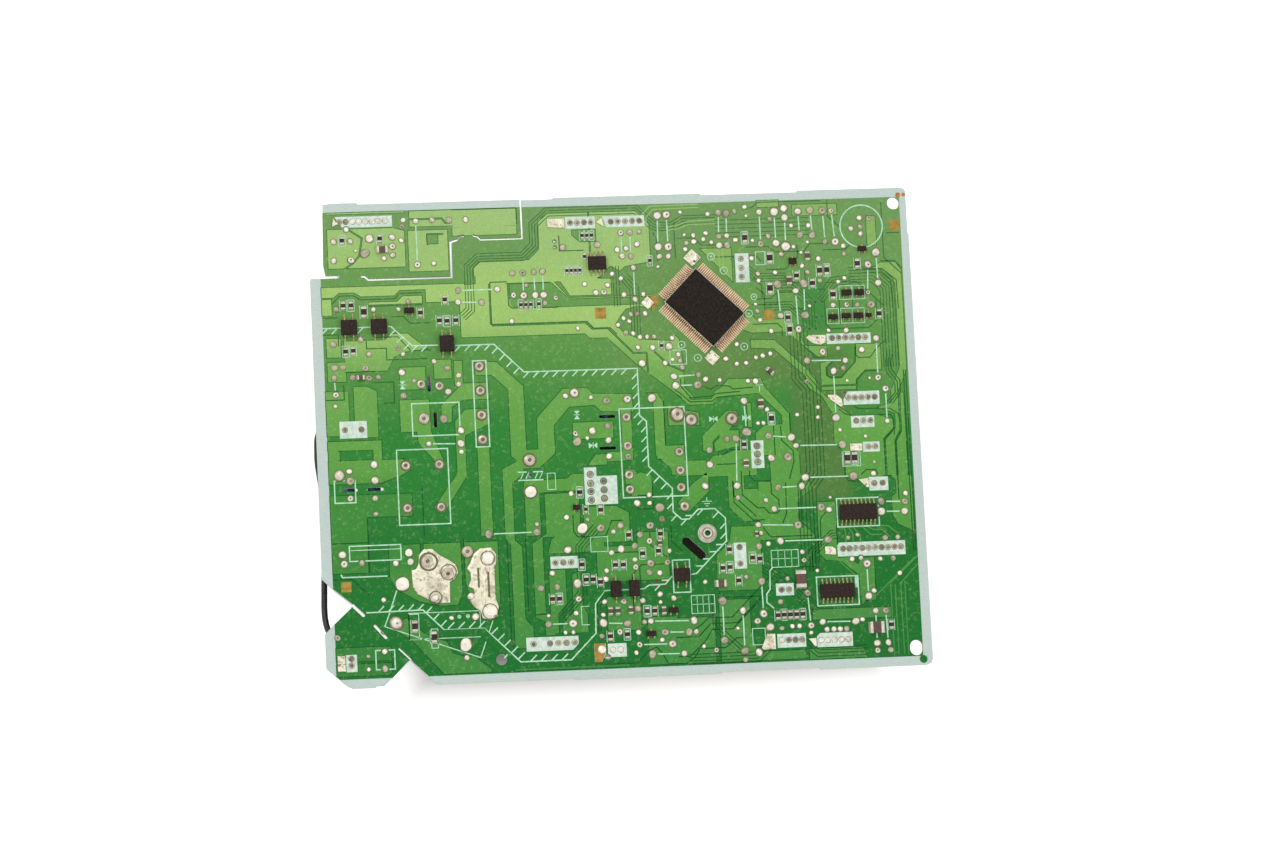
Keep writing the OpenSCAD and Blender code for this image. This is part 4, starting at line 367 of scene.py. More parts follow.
# Places where the resist has another tone: box and softness in board millimetres, sRGB colour, share of it
LIGHT_AREAS = [
    (2, 105, 118, 126, 12, (166, 201, 114), 0.55),
    (118, 3, 183, 30, 12, (78, 142, 68), 0.6),
    (2, 34, 30, 62, 8, (50, 130, 52), 0.75),
    (2, 0, 30, 14, 6, (48, 124, 54), 0.7),
    (120, 92, 183, 146, 10, (124, 168, 86), 0.7),
    (146, 42, 160, 56, 6, (84, 150, 70), 0.6),
]
DARK_AREAS = [
    (118, 88, 150, 104, 8, (94, 132, 66), 0.85),
    (146, 52, 163, 98, 6, (86, 126, 62), 0.9),
    (90, 92, 130, 128, 12, (106, 146, 80), 0.6),
    (20, 52, 56, 80, 10, (40, 128, 50), 0.6),
    (158, 2, 184, 48, 10, (24, 112, 40), 0.7),
    (150, 104, 158, 120, 3, (40, 128, 54), 0.6),
]
# Two tones each for the lower, middle and upper part of the board
resist("resist_dark", ((22, 112, 42), (34, 118, 46)), ((48, 130, 52), (84, 144, 66)),
       ((102, 152, 78), (112, 152, 90)), DARK_AREAS)
resist("resist_light", ((60, 134, 62), (82, 150, 64)), ((98, 160, 70), (114, 167, 82)),
       ((152, 190, 106), (156, 190, 118)), LIGHT_AREAS)
resist("resist_gap", ((10, 78, 30), (16, 84, 32)), ((24, 92, 36), (42, 102, 44)),
       ((58, 108, 54), (66, 112, 62)), [])
resist("resist_track", ((70, 140, 70), (88, 152, 72)), ((104, 162, 76), (122, 170, 88)),
       ((146, 184, 104), (152, 186, 114)), [])
plain("legend", (190, 222, 194), (150, 200, 164), 700, 0.6, bump=0.1, spec=0.2)
plain("legend_field", (214, 224, 212), (176, 200, 184), 900, 0.6, bump=0.1, spec=0.2)


def laminate():
    """Bare laminate: pale on top, tan below, with fibres and specks."""
    m = Mat("laminate", 0.55, 0.0, 0.4)
    side = m.ranged(m.xyz()[2], 0.03005, 0.0314, smooth=True)
    fibre = m.noise(900, 4, 0.7, (1, 6, 1))
    top = m.mix(fibre, lin(192, 205, 199), lin(172, 188, 180))
    speck = m.noise(2600, 2, 0.8, lo=0.5, hi=0.7)
    top = m.mix(m.math("MULTIPLY", speck, 0.35), top, lin(150, 172, 166))
    under = m.mix(m.noise(300, 3), lin(178, 160, 118), lin(160, 140, 98))
    m.colour(m.mix(side, under, top))
    m.bump(m.noise(1800, 3), 0.2, 0.0001)


laminate()


def solder(name, base, dark, rough=0.34):
    """Tinned solder with brown flux in places."""
    m = Mat(name, rough, 0.35, 0.5)
    f = m.noise(520, 4, 0.6)
    c = m.mix(f, lin(*base), lin(*dark))
    brown = m.noise(170, 3, lo=0.56, hi=0.72)
    m.colour(m.mix(m.math("MULTIPLY", brown, 0.5), c, lin(132, 112, 84)))
    m.put(m.b.inputs["Roughness"], m.ranged(f, 0, 1, rough - 0.1, rough + 0.15))
    m.bump(m.noise(1500, 3), 0.25, 0.0001)


solder("solder", (255, 252, 240), (224, 216, 196))
# Dull solder; the joints also use it as painted shade at their foot
solder("solder_dull", (172, 164, 140), (116, 108, 90), 0.42)
solder("flooded_solder", (246, 240, 218), (206, 200, 172), 0.4)
plain("cut_lead", (150, 134, 120), (92, 80, 70), 900, 0.4, 0.6)
plain("package", (20, 17, 15), (46, 38, 32), 1300, 0.7, bump=0.3, spec=0.12)
plain("driver_package", (32, 24, 22), (56, 42, 38), 1500, 0.66, bump=0.3, spec=0.15)
# A pale colour for a painted highlight along a package's edge
plain("package_edge", (196, 190, 170), (150, 142, 122), 900, 0.5)
plain("tinned_lead", (242, 216, 182), (204, 168, 130), 800, 0.4, 0.2)
plain("tinned_land", (236, 214, 178), (204, 178, 138), 700, 0.4, 0.2)
plain("driver_lead", (190, 174, 120), (140, 124, 78), 900, 0.4, 0.2)
plain("bare_copper", (182, 148, 66), (138, 108, 44), 600, 0.42, 0.5)
plain("bare_copper_orange", (206, 130, 62), (160, 92, 36), 600, 0.4, 0.4)
plain("chip_resistor", (36, 27, 26), (66, 48, 45), 900, 0.5, spec=0.2)
plain("chip_capacitor", (96, 72, 58), (70, 52, 42), 900, 0.42)
plain("terminal", (232, 226, 210), (190, 182, 164), 800, 0.34, 0.5)
plain("aluminium_can", (206, 208, 210), (178, 180, 184), 500, 0.3, 0.9)
plain("sleeve", (30, 38, 62), (22, 28, 48), 300, 0.3, coat=0.3)
plain("small_sleeve", (34, 38, 44), (24, 27, 33), 300, 0.3, coat=0.3)
plain("ferrite", (62, 60, 58), (44, 42, 41), 700, 0.6, 0.2)
plain("bobbin", (232, 226, 210), (214, 206, 186), 300, 0.5)
plain("dark_bobbin", (42, 40, 38), (30, 28, 27), 400, 0.45)
plain("relay_case", (34, 34, 37), (24, 24, 26), 300, 0.38)
plain("housing", (234, 230, 218), (216, 210, 194), 300, 0.45)
plain("clip", (206, 196, 164), (170, 158, 122), 500, 0.3, 0.8)
plain("fuse_cap", (196, 200, 204), (160, 164, 168), 500, 0.25, 0.9)
plain("blue_epoxy", (44, 92, 158), (34, 72, 130), 260, 0.3, coat=0.3)
plain("disc_epoxy", (58, 118, 170), (44, 96, 146), 260, 0.35, coat=0.2)
plain("dark_epoxy", (48, 60, 52), (36, 46, 40), 260, 0.4)
plain("film_capacitor", (178, 60, 42), (150, 46, 32), 260, 0.35, coat=0.2)
plain("resonator", (206, 116, 46), (178, 94, 34), 260, 0.35, coat=0.2)
plain("black_lead", (30, 29, 29), (18, 17, 17), 700, 0.42, bump=0.2)
plain("flux", (104, 108, 62), (84, 84, 48), 500, 0.35)
plain("red_dot", (112, 40, 34), (84, 28, 26), 600, 0.4)
plain("solder_white", (255, 253, 242), (238, 230, 206), 500, 0.3)
solder("solder_mid", (214, 206, 184), (160, 150, 128), 0.38)


def winding():
    m = Mat("winding", 0.3, 0.7, 0.5)
    m.colour(m.mix(m.noise(300, 3), lin(196, 112, 48), lin(150, 78, 30)))
    m.bump(m.wave("Z", 330), 0.6, 0.0002)


def tape():
    m = Mat("winding_tape", 0.3, 0.0, 0.5, 0.3)
    m.colour(m.mix(m.noise(60, 2, stretch=(1, 1, 4)), lin(222, 186, 70), lin(196, 154, 48)))
    m.bump(m.noise(90, 3, stretch=(1, 1, 8)), 0.4, 0.0003)


def resistor():
    """Beige resistor bodies with colour bands that follow the place along the board."""
    m = Mat("resistor", 0.4, 0.0, 0.5, 0.2)
    c = m.mix(m.noise(200, 2), lin(206, 182, 138), lin(184, 158, 112))
    m.colour(m.mix(m.ranged(m.wave("DIAGONAL", 190), 0.86, 0.9), c, lin(112, 52, 30)))
    m.bump(m.noise(900, 2), 0.15)


def glass():
    m = Mat("fuse_glass", 0.05, 0.0, 0.5)
    m.set("Transmission Weight", 0.85)
    m.set("IOR", 1.45)
    m.colour(m.mix(m.noise(200, 2), lin(226, 238, 234), lin(206, 222, 216)))


for make in (winding, tape, resistor, glass):
    make()

# The material of each CAD node
LOOKS = {
    "laminate": "circuit_board", "resist_dark": "solder_resist", "resist_light": "copper_pattern",
    "legend": "silkscreen_lines", "legend_field": "silkscreen_fields", "solder": "solder_joints",
    "solder_dull": "connector_joints", "flooded_solder": "flooded_lands", "bare_copper": "test_pads",
    "terminal": "earth_eyelet chip_terminals component_pins jumper_wires",
    "package": "microcontroller_package", "tinned_lead": "microcontroller_leads",
    "tinned_land": "microcontroller_lands",
    "driver_package": "driver_ics memory_ic photocouplers small_transistors bridge_rectifier power_switch_ic "
                      "axial_diodes leaded_transistors voltage_regulator",
    "driver_lead": "gull_wing_leads", "chip_resistor": "chip_resistors", "chip_capacitor": "chip_capacitors",
    "aluminium_can": "capacitor_can electrolytic_cans", "sleeve": "capacitor_sleeve",
    "ferrite": "filter_core transformer_core", "bobbin": "filter_bobbin", "winding": "filter_windings",
    "dark_bobbin": "transformer_bobbin relay_base", "winding_tape": "transformer_winding",
    "relay_case": "relay_cover buzzer", "dark_epoxy": "surge_thermistor", "blue_epoxy": "varistors",
    "fuse_glass": "fuse_tube", "fuse_cap": "fuse_caps", "clip": "fuse_clips tab_terminals header_contacts",
    "small_sleeve": "electrolytic_sleeves", "film_capacitor": "film_capacitors",
    "disc_epoxy": "disc_capacitors", "resistor": "axial_resistors", "resonator": "ceramic_resonator",
    "housing": "power_connectors connectors_2_way connectors_3_way connectors_4_way connectors_5_way "
               "connectors_6_way long_connectors",
    "black_lead": "black_lead",
}
for look, names in LOOKS.items():
    for name in names.split():
        nodes[name].data.materials.clear()
        nodes[name].data.materials.append(M[look])


# ---------------------------------------------------------------- light, floor

def area_light(name, place, target, size, power):
    data = bpy.data.lights.new(name, "AREA")
    data.shape = "SQUARE"
    data.size = size
    data.energy = power
    o = add_object(name, data)
    o.location = place
    o.rotation_euler = (Vector(target) - Vector(place)).to_track_quat("-Z", "Y").to_euler()


area_light("key", (-0.5, 0.7, 1.1), (0, 0, 0.03), 0.6, 6.5)
area_light("fill", (0.8, -0.5, 1.2), (0, 0, 0.03), 0.8, 4.5)


def backdrop():
    """Pale floor. Under the board its glow is left out and its colour is painted dark, a painted shadow, so the
    holes look dark.
    """
    m = Mat("floor", 0.9, 0.0, 0.0)
    nodes_of = m.nt.nodes
    nodes_of.remove(m.b)
    # The glow for camera, glossy and transmission rays is left out under the board, where the floor shows only
    # the light that reaches it
    shade = m.math("MAXIMUM", m.area(30, 2, 172, 120, 16), m.area(69, 112, 172, 141, 10))
    tone = m.mix(m.noise(3, 2), (0.94, 0.94, 0.94, 1), (0.97, 0.97, 0.97, 1))
    # Under the middle of the board the floor's own colour is painted dark: a painted shadow that darkens the
    # holes
    painted_shadow_mask = m.area(40, 10, 162, 130, 34)
    matt = m.fill(m.node("ShaderNodeBsdfDiffuse"), Color=m.mix(painted_shadow_mask, tone, (0.1, 0.09, 0.085, 1)))
    glow = m.fill(m.node("ShaderNodeEmission"), Strength=m.ranged(shade, 0, 1, 0.5, 0.0))
    add, mix = m.node("ShaderNodeAddShader"), m.node("ShaderNodeMixShader")
    ray = m.node("ShaderNodeLightPath").outputs
    seen = m.math("MAXIMUM", ray["Is Camera Ray"], ray["Is Glossy Ray"])
    seen = m.math("MAXIMUM", seen, ray["Is Transmission Ray"])
    for node, inputs in ((add, (matt, glow)), (mix, (seen, matt, add.outputs[0]))):
        for socket, value in zip(node.inputs, inputs):
            m.put(socket, value)
    m.put(nodes_of["Material Output"].inputs["Surface"], mix.outputs[0])


mesh = bpy.data.meshes.new("floor")
mesh.from_pydata([(-6, -6, 0), (6, -6, 0), (6, 6, 0), (-6, 6, 0)], [], [(0, 1, 2, 3)])
floor = add_object("floor", mesh)
backdrop()
floor.data.materials.append(M["floor"])

world = bpy.data.worlds.new("world")
bpy.context.scene.world = world
world.use_nodes = True
bg = world.node_tree.nodes["Background"]
bg.inputs["Color"].default_value = (1, 1, 1, 1)
bg.inputs["Strength"].default_value = 0.75
bpy.context.scene.view_settings.view_transform = "Standard"


# ---------------------------------------------------------------- black lead

# The centre line in board millimetres, from joint to joint
ROUTE = [(6.2, 85.7, 30), (6.2, 85.7, 27.5), (6.1, 85.4, 25), (5.6, 84.5, 22.9), (4.6, 83, 21.6),
         (3.3, 81.4, 21), (1.9, 79.8, 20.8), (0.9, 77.4, 20.7), (0.7, 74, 20.6), (0.65, 70.7, 20.5),
         (0.95, 67.2, 20.4), (1.4, 63.5, 20.3), (1.9, 59, 20.3), (2.1, 54, 20.3), (2.2, 49, 20.3),
         (2.1, 44, 20.3), (1.8, 40, 20.3), (1.4, 36.5, 20.4), (1.15, 32.5, 20.5), (1, 29, 20.7),
         (0.85, 25.5, 21), (0.95, 22, 21.6), (1.5, 19, 22.7), (2.5, 16.9, 24.4), (3.4, 15.8, 26.6),
         (3.9, 15.4, 28.8), (3.9, 15.4, 30)]


def lead():
    """The insulated lead under the left edge: one open spline through the route."""
    pts = [Vector(pos(*p)) for p in ROUTE]
    fine = []
    for i in range(len(pts) - 1):
        p0, p1, p2, p3 = pts[max(i - 1, 0)], pts[i], pts[i + 1], pts[min(i + 2, len(pts) - 1)]
        for k in range(4):
            t = k / 4
            fine.append(0.5 * (2 * p1 + (p2 - p0) * t + (2 * p0 - 5 * p1 + 4 * p2 - p3) * t ** 2
                               + (3 * p1 - p0 - 3 * p2 + p3) * t ** 3))
    fine.append(pts[-1])
    curve = bpy.data.curves.new("lead_sheath", "CURVE")
    curve.dimensions = "3D"
    curve.bevel_depth = 0.00095
    curve.bevel_resolution = 5
    spline = curve.splines.new("POLY")
    spline.points.add(len(fine) - 1)
    for q, p in zip(spline.points, fine):
        q.co = (*p, 1)
    spline.use_smooth = True
    o = add_object("lead_sheath", curve)
    curve.materials.append(M["black_lead"])
    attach(o, "root")
    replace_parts(o, "black_lead")


lead()


# ---------------------------------------------------------------- solder joints

class Solid(Flat):
    """Lathe and blob shapes, with a material index for each face."""

    def __init__(self, name):
        super().__init__(name)
        self.kinds = []

    def turned(self, u, v, z, profile, kinds, n=18, wob=0.05, lean=(0.0, 0.0), squash=1.0, turn=0.0):
        """profile is [(radius, height)] from the rim inwards; kinds gives the material of each band."""
        seed = Vector((u * 0.37, v * 0.53, 1.7))
        vs, fs, ks = [], [], []
        top = profile[-1][1] or 1
        q = placed(u, v, turn)
        for i, (r, h) in enumerate(profile):
            t = h / top
            for a in circle(n):
                place = seed + Vector((math.cos(a) * 1.3, math.sin(a) * 1.3, i * 0.6))
                rr = r * (1 + wob * noise.noise(place) * 2)
                x, y = q(rr * math.cos(a), rr * squash * math.sin(a))
                vs.append((x + lean[0] * t, y + lean[1] * t, z + h))
        for i in range(len(profile) - 1):
            for k in range(n):
                k2 = (k + 1) % n
                fs.append((i * n + k, i * n + k2, (i + 1) * n + k2, (i + 1) * n + k))
                ks.append(kinds[min(i, len(kinds) - 1)])
        fs.append(tuple((len(profile) - 1) * n + k for k in range(n)))
        ks.append(kinds[-1])
        self.add(vs, fs)
        self.kinds += ks

    def build(self, looks, slot):
        o = super().build(looks[0], slot, True)
        for look in looks[1:]:
            o.data.materials.append(M[look])
        o.data.polygons.foreach_set("material_index", self.kinds)
        return o


# A domed joint with no lead end: parts of the radius and of the height
DOME = [(1.08, 0), (1.02, 0.12), (0.94, 0.32), (0.8, 0.55), (0.58, 0.78), (0.3, 0.94), (0.08, 1)]
# Faces of a joint, by their place in this list. On a joint the flux look at the rim and the dull look at the
# foot are painted shade, and the bands grow lighter up to a painted highlight on top
JOINT_LOOKS = ["solder", "solder_mid", "solder_dull", "cut_lead", "flux", "solder_white"]


def joints():
    """Solder joints: a dark rim and a dull foot that are painted shade, a paler cone that lightens up to a
    painted highlight on top, and the cut end of the lead.
    """
    ends = set()
    for name in ("component_pins", "jumper_wires", "tab_terminals"):
        for vert in nodes[name].data.vertices:
            if vert.co.z > 0.0315:
                ends.add((round(vert.co.x * 1000 + W / 2), round(vert.co.y * 1000 + H / 2)))
    out = Solid("solder_fillets")
    rnd = random.Random(11)
    for lo, hi in islands("solder_joints"):
        (u, v), r = middle(lo, hi), (hi[0] - lo[0]) / 2
        has_lead = any((round(u) + i, round(v) + j) in ends for i in (-1, 0, 1) for j in (-1, 0, 1))
        lean = (rnd.uniform(-0.14, 0.1) * r, rnd.uniform(-0.1, 0.14) * r)
        squash, turn = rnd.uniform(0.84, 1.0), rnd.uniform(0, math.pi)
        h = hi[2] - lo[2]
        dull = in_boxes(DULL, u, v)
        white = any(math.hypot(u - a, v - b) < 1.6 for a, b in WHITE)
        if not has_lead:
            shade = 1 if dull else rnd.choice((0, 0, 0, 1))
            profile = [(r * f, h * g) for f, g in DOME]
            # bands from the rim to the top: painted shade at the rim and foot, lighter higher up to a painted
            # highlight
            bands = [4, 2, 5, 5] if white else [4, 2, 1, shade]
            out.turned(u, v, COAT, profile, bands, 18, 0.08, lean, squash, turn)
        elif r > 1.35 and dull:
            # a dull ring round a sunk dark lead end, with painted shade at its rim and foot
            profile = [(r * 1.02, 0), (r * 0.98, h * 0.12), (r * 0.86, h * 0.3), (r * 0.72, h * 0.42),
                       (0.62, h * 0.5), (0.55, h * 0.46), (0.5, h * 0.34), (0.3, h * 0.32), (0.08, h * 0.34)]
            out.turned(u, v, COAT, profile, [4, 2, 1, 1, 2, 3, 3, 3], 24, 0.04, (0, 0), 1.0, turn)
        else:
            shade = 1 if dull else rnd.choice((0, 0, 1))
            profile = [(r * 1.05, 0), (r * 0.99, h * 0.1), (r * 0.88, h * 0.26), (r * 0.74, h * 0.42),
                       (r * 0.58, h * 0.58), (r * 0.45, h * 0.7), (0.3, h * 0.8), (0.28, h * 0.94),
                       (0.2, h * 0.98), (0.06, h)]
            tip = rnd.choice((3, shade, shade))
            # bands from the rim to the top: painted shade at the rim and foot, lighter higher up to a painted
            # highlight
            bands = [4, 2] + [5] * 7 if white else [4, 2, 1] + [shade] * 3 + [tip] * 3
            out.turned(u, v, COAT, profile, bands, 20, 0.06, lean, squash, turn)
    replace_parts(out.build(JOINT_LOOKS, "solder"), "solder_joints")
    pins = Solid("connector_fillets")
    for lo, hi in islands("connector_joints"):
        u, v = middle(lo, hi)
        h = hi[2] - lo[2]
        r = min((hi[0] - lo[0]) / 2 * 1.16, 0.96)
        lean = (rnd.uniform(-0.1, 0.06), rnd.uniform(-0.06, 0.1))
        bright = in_boxes(BRIGHT, u, v)
        shade = 0 if bright else rnd.choice((1, 1, 2))
        core = 0 if bright else rnd.choice((2, 3))
        profile = [(r, 0), (r * 0.95, h * 0.14), (r * 0.78, h * 0.34), (r * 0.6, h * 0.5),
                   (r * 0.46, h * 0.66), (0.28, h * 0.9), (0.24, h * 0.98), (0.06, h)]
        pins.turned(u, v, COAT, profile, [2, shade, shade, core, core, 0 if bright else 3, core],
                    18, 0.07, lean, rnd.uniform(0.88, 1), rnd.uniform(0, 3))
    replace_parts(pins.build(JOINT_LOOKS[:4], "solder"), "connector_joints")


# Boxes where the joints are dull, joints that are bright white, and boxes where the header joints are bright
DULL = [(20, 50, 40, 70), (48, 60, 68, 99), (92, 55, 98, 82), (108, 66, 129, 82), (30, 79, 40, 84),
        (108, 50, 113, 64), (20, 88, 40, 94), (4, 90, 20, 106), (30, 32.5, 41, 39.5), (42, 39, 46, 42.4)]
WHITE = [(50.3, 38.2), (50.3, 21.5), (24.4, 30.9), (26.5, 40.8), (42.8, 11.6), (64, 57.8), (79.5, 45.6),
         (111.5, 70.4)]
BRIGHT = [(12, 136, 34, 144), (118, 8, 140, 16), (85, 5, 92, 10), (150, 8, 178, 18), (40, 136, 60, 146)]
joints()


# ---------------------------------------------------------------- fine tracks, gaps and painted edge shade

# Dark lines, between copper fields that are both in the light tone
GAPS = paths([
    # left side
    [6.5, 117, 8.8, 119.4, 13, 119.4, 15.2, 118.1, 25.6, 118.1, 27.2, 119.7, 34, 119.7], [17.5, 116, 34, 116],
    [54.8, 122.2, 54.8, 109.2, 84, 109.2, 86, 107, 91, 107, 93, 105], [54.8, 122.2, 60, 122.2],
    [76.6, 136, 76.6, 131.2, 84, 131.2], [3.3, 112.8, 8, 112.8], [3.3, 107.6, 8, 107.6, 8, 104],
    [24.4, 112.6, 28, 112.6, 30, 110.4, 36, 110.4], [17.6, 92.6, 24.2, 92.6, 24.2, 86.2, 21, 86.2],
    [19.2, 106.4, 26, 106.4, 29.8, 102, 36, 102], [9, 92.2, 9, 87.6, 3.3, 87.6],
    [16.4, 105.4, 16.4, 103, 22.4, 103, 22.4, 99.4, 34.6, 99.4],
    # lower middle
    [76.8, 50, 76.8, 45, 78, 43.2, 86.5, 43.2, 87.6, 45.5, 88.5, 47.8, 92, 47.8],
    [88, 4.2, 94.4, 4.2, 98, 7.8, 100.4, 8.8, 102, 7, 103.6, 3.8],
    [103.4, 3.5, 109.5, 3.5, 112, 5.3, 113.6, 7.8, 121.5, 7.8, 125, 10.6, 128, 10.6],
    [107, 5.6, 110.6, 5.6, 115.2, 9.8, 117.6, 13.4, 124, 13.4, 133.6, 22.6],
    [106.4, 11.4, 113.4, 11.4, 117.2, 15.2, 125.4, 15.2, 137.4, 26.8, 140, 28.6],
    [111.4, 13.2, 114.4, 15, 116.6, 17, 124, 17, 136, 28.8, 136, 31], [94, 21, 94, 31, 97, 34, 104, 34],
    [88.5, 38, 96, 38, 98.6, 35.4], [100, 46, 100, 40, 105, 36],
    # centre
    [121.8, 63.8, 127.8, 63.8], [120.8, 66.7, 123.8, 66.7, 125.6, 68.2, 129, 68.2],
    [126.4, 58.4, 126.4, 54, 133, 47.4], [97.4, 55.4, 96.8, 51, 101.6, 51, 101.6, 55],
    [110, 87, 111, 86.5, 114.5, 83.3, 121.4, 83.3, 122.6, 84.4, 130, 84.9],
    [111.8, 90.5, 112, 88, 114.8, 84.5, 121.4, 84.9, 122.5, 85.6, 130, 86],
    [118.5, 88, 121, 87, 123, 88.1, 126.5, 87.8, 128, 86.8, 134, 87.2],
    [129, 61.5, 129, 54.2, 133.5, 50, 135.5, 50, 137, 48.3, 139.5, 48.2, 140.2, 49, 140.1, 52.3, 138, 54.2,
     138, 58, 133, 58.3, 131.6, 60, 131.6, 61.5], [126.2, 58.5, 126.3, 52, 132, 46.3, 135.5, 46.3],
    [142.5, 57.5, 142.3, 48, 141, 45], [139.7, 75, 139.8, 66],
    [141.9, 75, 142, 70.5, 145.3, 67.3, 145.5, 64, 143.8, 58.5], [146.9, 43.4, 146.9, 57, 149, 60],
    [149.4, 102.9, 149.2, 100.5, 152.9, 97, 153.5, 95.7, 157.5, 95.8],
    # right side
    [159.3, 94.5, 157.3, 92.3, 157.2, 90, 158.3, 89.4, 161.5, 89.4, 163, 90.8, 166, 93.8, 166.3, 98.5],
    [166.4, 99.5, 166.4, 96, 167.2, 95.2, 170.8, 95.2, 172.6, 97.5, 174.7, 99.6, 175.9, 100, 175.9, 103],
    [172.8, 91, 169, 91, 166.4, 88.3, 166.2, 85], [160.2, 79.5, 162, 78, 164.5, 77.2],
    [165, 80.2, 166.3, 79.4, 176, 79.2, 178.5, 77.5, 179, 75], [172, 77.4, 176, 77.3, 177, 75.8, 177, 71],
    [176.2, 96, 175.6, 94, 175.6, 90.5, 178, 87, 178, 84, 175.3, 81.3],
    [177, 96, 176.4, 94, 176.4, 91, 178.8, 87.4, 178.8, 84, 176.1, 80.9],
    [177.8, 96, 177.2, 94, 177.2, 91.4, 179.6, 87.8, 179.6, 84, 176.9, 80.5],
    [173.7, 58, 173.7, 69.5, 177, 73], [177.3, 51, 177.3, 69, 178.9, 72], [180.9, 35, 180.9, 91],
    [181.6, 35, 181.6, 91], [161, 62, 161, 58.5, 162, 57.3, 165, 57],
    [166, 59, 167.5, 60.5, 170.5, 60.5, 171.2, 59], [152.4, 37, 152.6, 46, 154.5, 48],
    [168, 122.7, 176, 122.6, 180.3, 119, 180.5, 110], [170, 121.5, 175.5, 121.5, 178.5, 119, 178.8, 110],
    [175.5, 125, 180, 125, 182.4, 122.5], [178, 133.7, 182, 133.7],
    # upper right
    [134, 142.8, 136.5, 142.8, 138.5, 144.4, 158, 144.4], [160, 144.6, 160, 139.4, 163.6, 136],
    [150, 131, 150, 127, 146, 123.4, 140, 123.4], [158, 129, 165, 129, 167, 131],
    [134, 130.6, 141, 130.6, 143, 128.8, 152, 128.8, 154, 131, 160, 131], [134, 128, 137, 128, 138.6, 126],
    [152, 123, 152, 119.6, 155, 116.8, 158, 116.8], [143, 116, 143, 112.6, 135, 112.6],
    [135, 114.4, 141, 114.4, 143, 116.2, 148, 116.2], [158, 118.8, 168, 118.8, 172, 115, 176, 111, 176, 105],
    [162.2, 106, 162.2, 117.6], [157.6, 113, 157.6, 106, 159, 104.4, 171, 104.4, 173.6, 106.8, 173.6, 113],
    [166.3, 106, 166.3, 117.6], [135, 106.6, 142.6, 106.6, 144, 105.2, 144, 102.8],
    [147, 111, 150.6, 111, 150.6, 104], [176.8, 143.4, 176.8, 126, 182, 121],
    [136, 121, 138.4, 118.6, 138.4, 114.6], [146, 121, 148, 119, 150, 119],
    [113, 134, 118, 134, 120.4, 131.6, 128, 131.6], [124, 127.8, 130.4, 127.8, 130.4, 121],
    [136.6, 118, 139, 116, 139, 110], [106.6, 127, 106.6, 134, 105.6, 136], [112.2, 128, 112.2, 139],
    # lower right
    [120.4, 25, 120.4, 23, 134, 23], [134.8, 44, 137, 41, 150, 41], [136.2, 24, 136.2, 31.4, 150, 31.4],
    [96.4, 28.4, 96.4, 33], [106.6, 45.6, 106.6, 40.8, 110.4, 37], [62, 44, 62, 20.6],
    [56.4, 42.8, 56.4, 12, 57, 10.4], [43.2, 44, 43.2, 32], [31.4, 45.4, 31.4, 60], [3.3, 43.9, 14.2, 43.9],
    [14.4, 34.8, 14.4, 51], [3.3, 33, 9, 33, 14, 28],
])
# Light lines on the dark tone
TRACKS = paths([
    # curved runs from the upper driver to its connector
    [165.5, 43, 168, 40.5, 171.5, 40.5], [167, 43, 169, 42, 171.5, 42, 174, 39.5],
    [171, 43.2, 173.5, 43, 176.5, 40.5], [162.6, 43, 164.6, 40.6, 164.6, 38.6],
    [161.2, 43, 162.4, 41, 162.4, 38.6], [159.8, 43, 160.2, 41, 160.2, 38.6],
    # lower right
    [166.5, 20, 181, 33], [173, 25.3, 182, 33.5], [176, 25, 182, 31],
    *([u, 25, u, 3.4] for u in (173.2, 174.6, 176.3)), [177.6, 26, 177.6, 3.4],
    *([u, 19, u, 15.4] for u in (155.5, 156.5, 157.5, 158.5)), [157, 33.5, 163.8, 27],
    # top bundles
    [120, 144.4, 105, 144.2, 102.6, 141.8, 102.6, 130], [120, 143.4, 106, 143.2, 103.7, 140.8, 103.7, 130],
    [125.7, 130, 125.7, 123], [126.9, 130, 126.9, 123], [110, 136.5, 113, 136.9, 117, 138.2, 125, 138.2],
    [110, 137.5, 112.6, 137.9, 116.6, 139.2, 125, 139.4],
])


def bundle(path, n, pitch, mesh, width, z):
    """n parallel lines beside a path."""
    for k in range(n):
        off = (k - (n - 1) / 2) * pitch
        mesh.line([p + m * off / max(cos, 0.4) for p, m, cos in mitres(path)], width, z)


BUNDLES = [
    # path, tracks, pitch
    ([125, 136.6, 150, 136.6, 154, 136.6], 4, 1.3),
    ([92, 143.4, 73.2, 143.4, 68.9, 139.6, 68.9, 133.3, 65.2, 129.9, 51.6, 129.9, 48.5, 127.2, 48.5, 114,
      46, 111.8], 3, 0.85),
    ([92, 143.4, 100.6, 143.4, 105.4, 138.5, 107, 137.8, 111.6, 137.8, 115, 139.7, 125, 139.7], 3, 0.85),
    ([165.5, 120.9, 173.4, 120.9, 177.4, 116.9, 177.4, 92], 5, 0.95),
    ([156, 113.5, 160.6, 119, 166, 119.6], 3, 0.9),
    ([149, 104, 149, 90, 152, 86.4, 152, 60, 149, 56, 149, 30], 5, 1.1),
    ([134.6, 32, 139, 29, 147, 21, 150, 18], 4, 0.9),
    ([110, 4.6, 131, 4.6, 136, 9, 146, 9, 150, 5.4, 165, 5.4], 3, 1.0),
    ([119, 24.6, 119, 14, 126, 7], 2, 1.0), ([84, 46, 78.6, 40, 78.6, 26, 72, 19], 3, 0.9),
    ([96, 122.6, 99, 119, 99, 104.6], 3, 0.9), ([93.6, 126, 93.6, 113.5], 2, 0.9),
    ([140, 118, 148, 118, 153, 112.6, 153, 105], 3, 0.9), ([130, 128, 137, 121, 146, 121], 3, 0.8),
    ([139, 112, 147, 112, 150, 109], 3, 0.8), ([150, 30, 150, 36, 156, 41, 158, 41], 3, 0.8),
    ([83, 14, 83, 22.6, 86, 26], 2, 0.8),
]

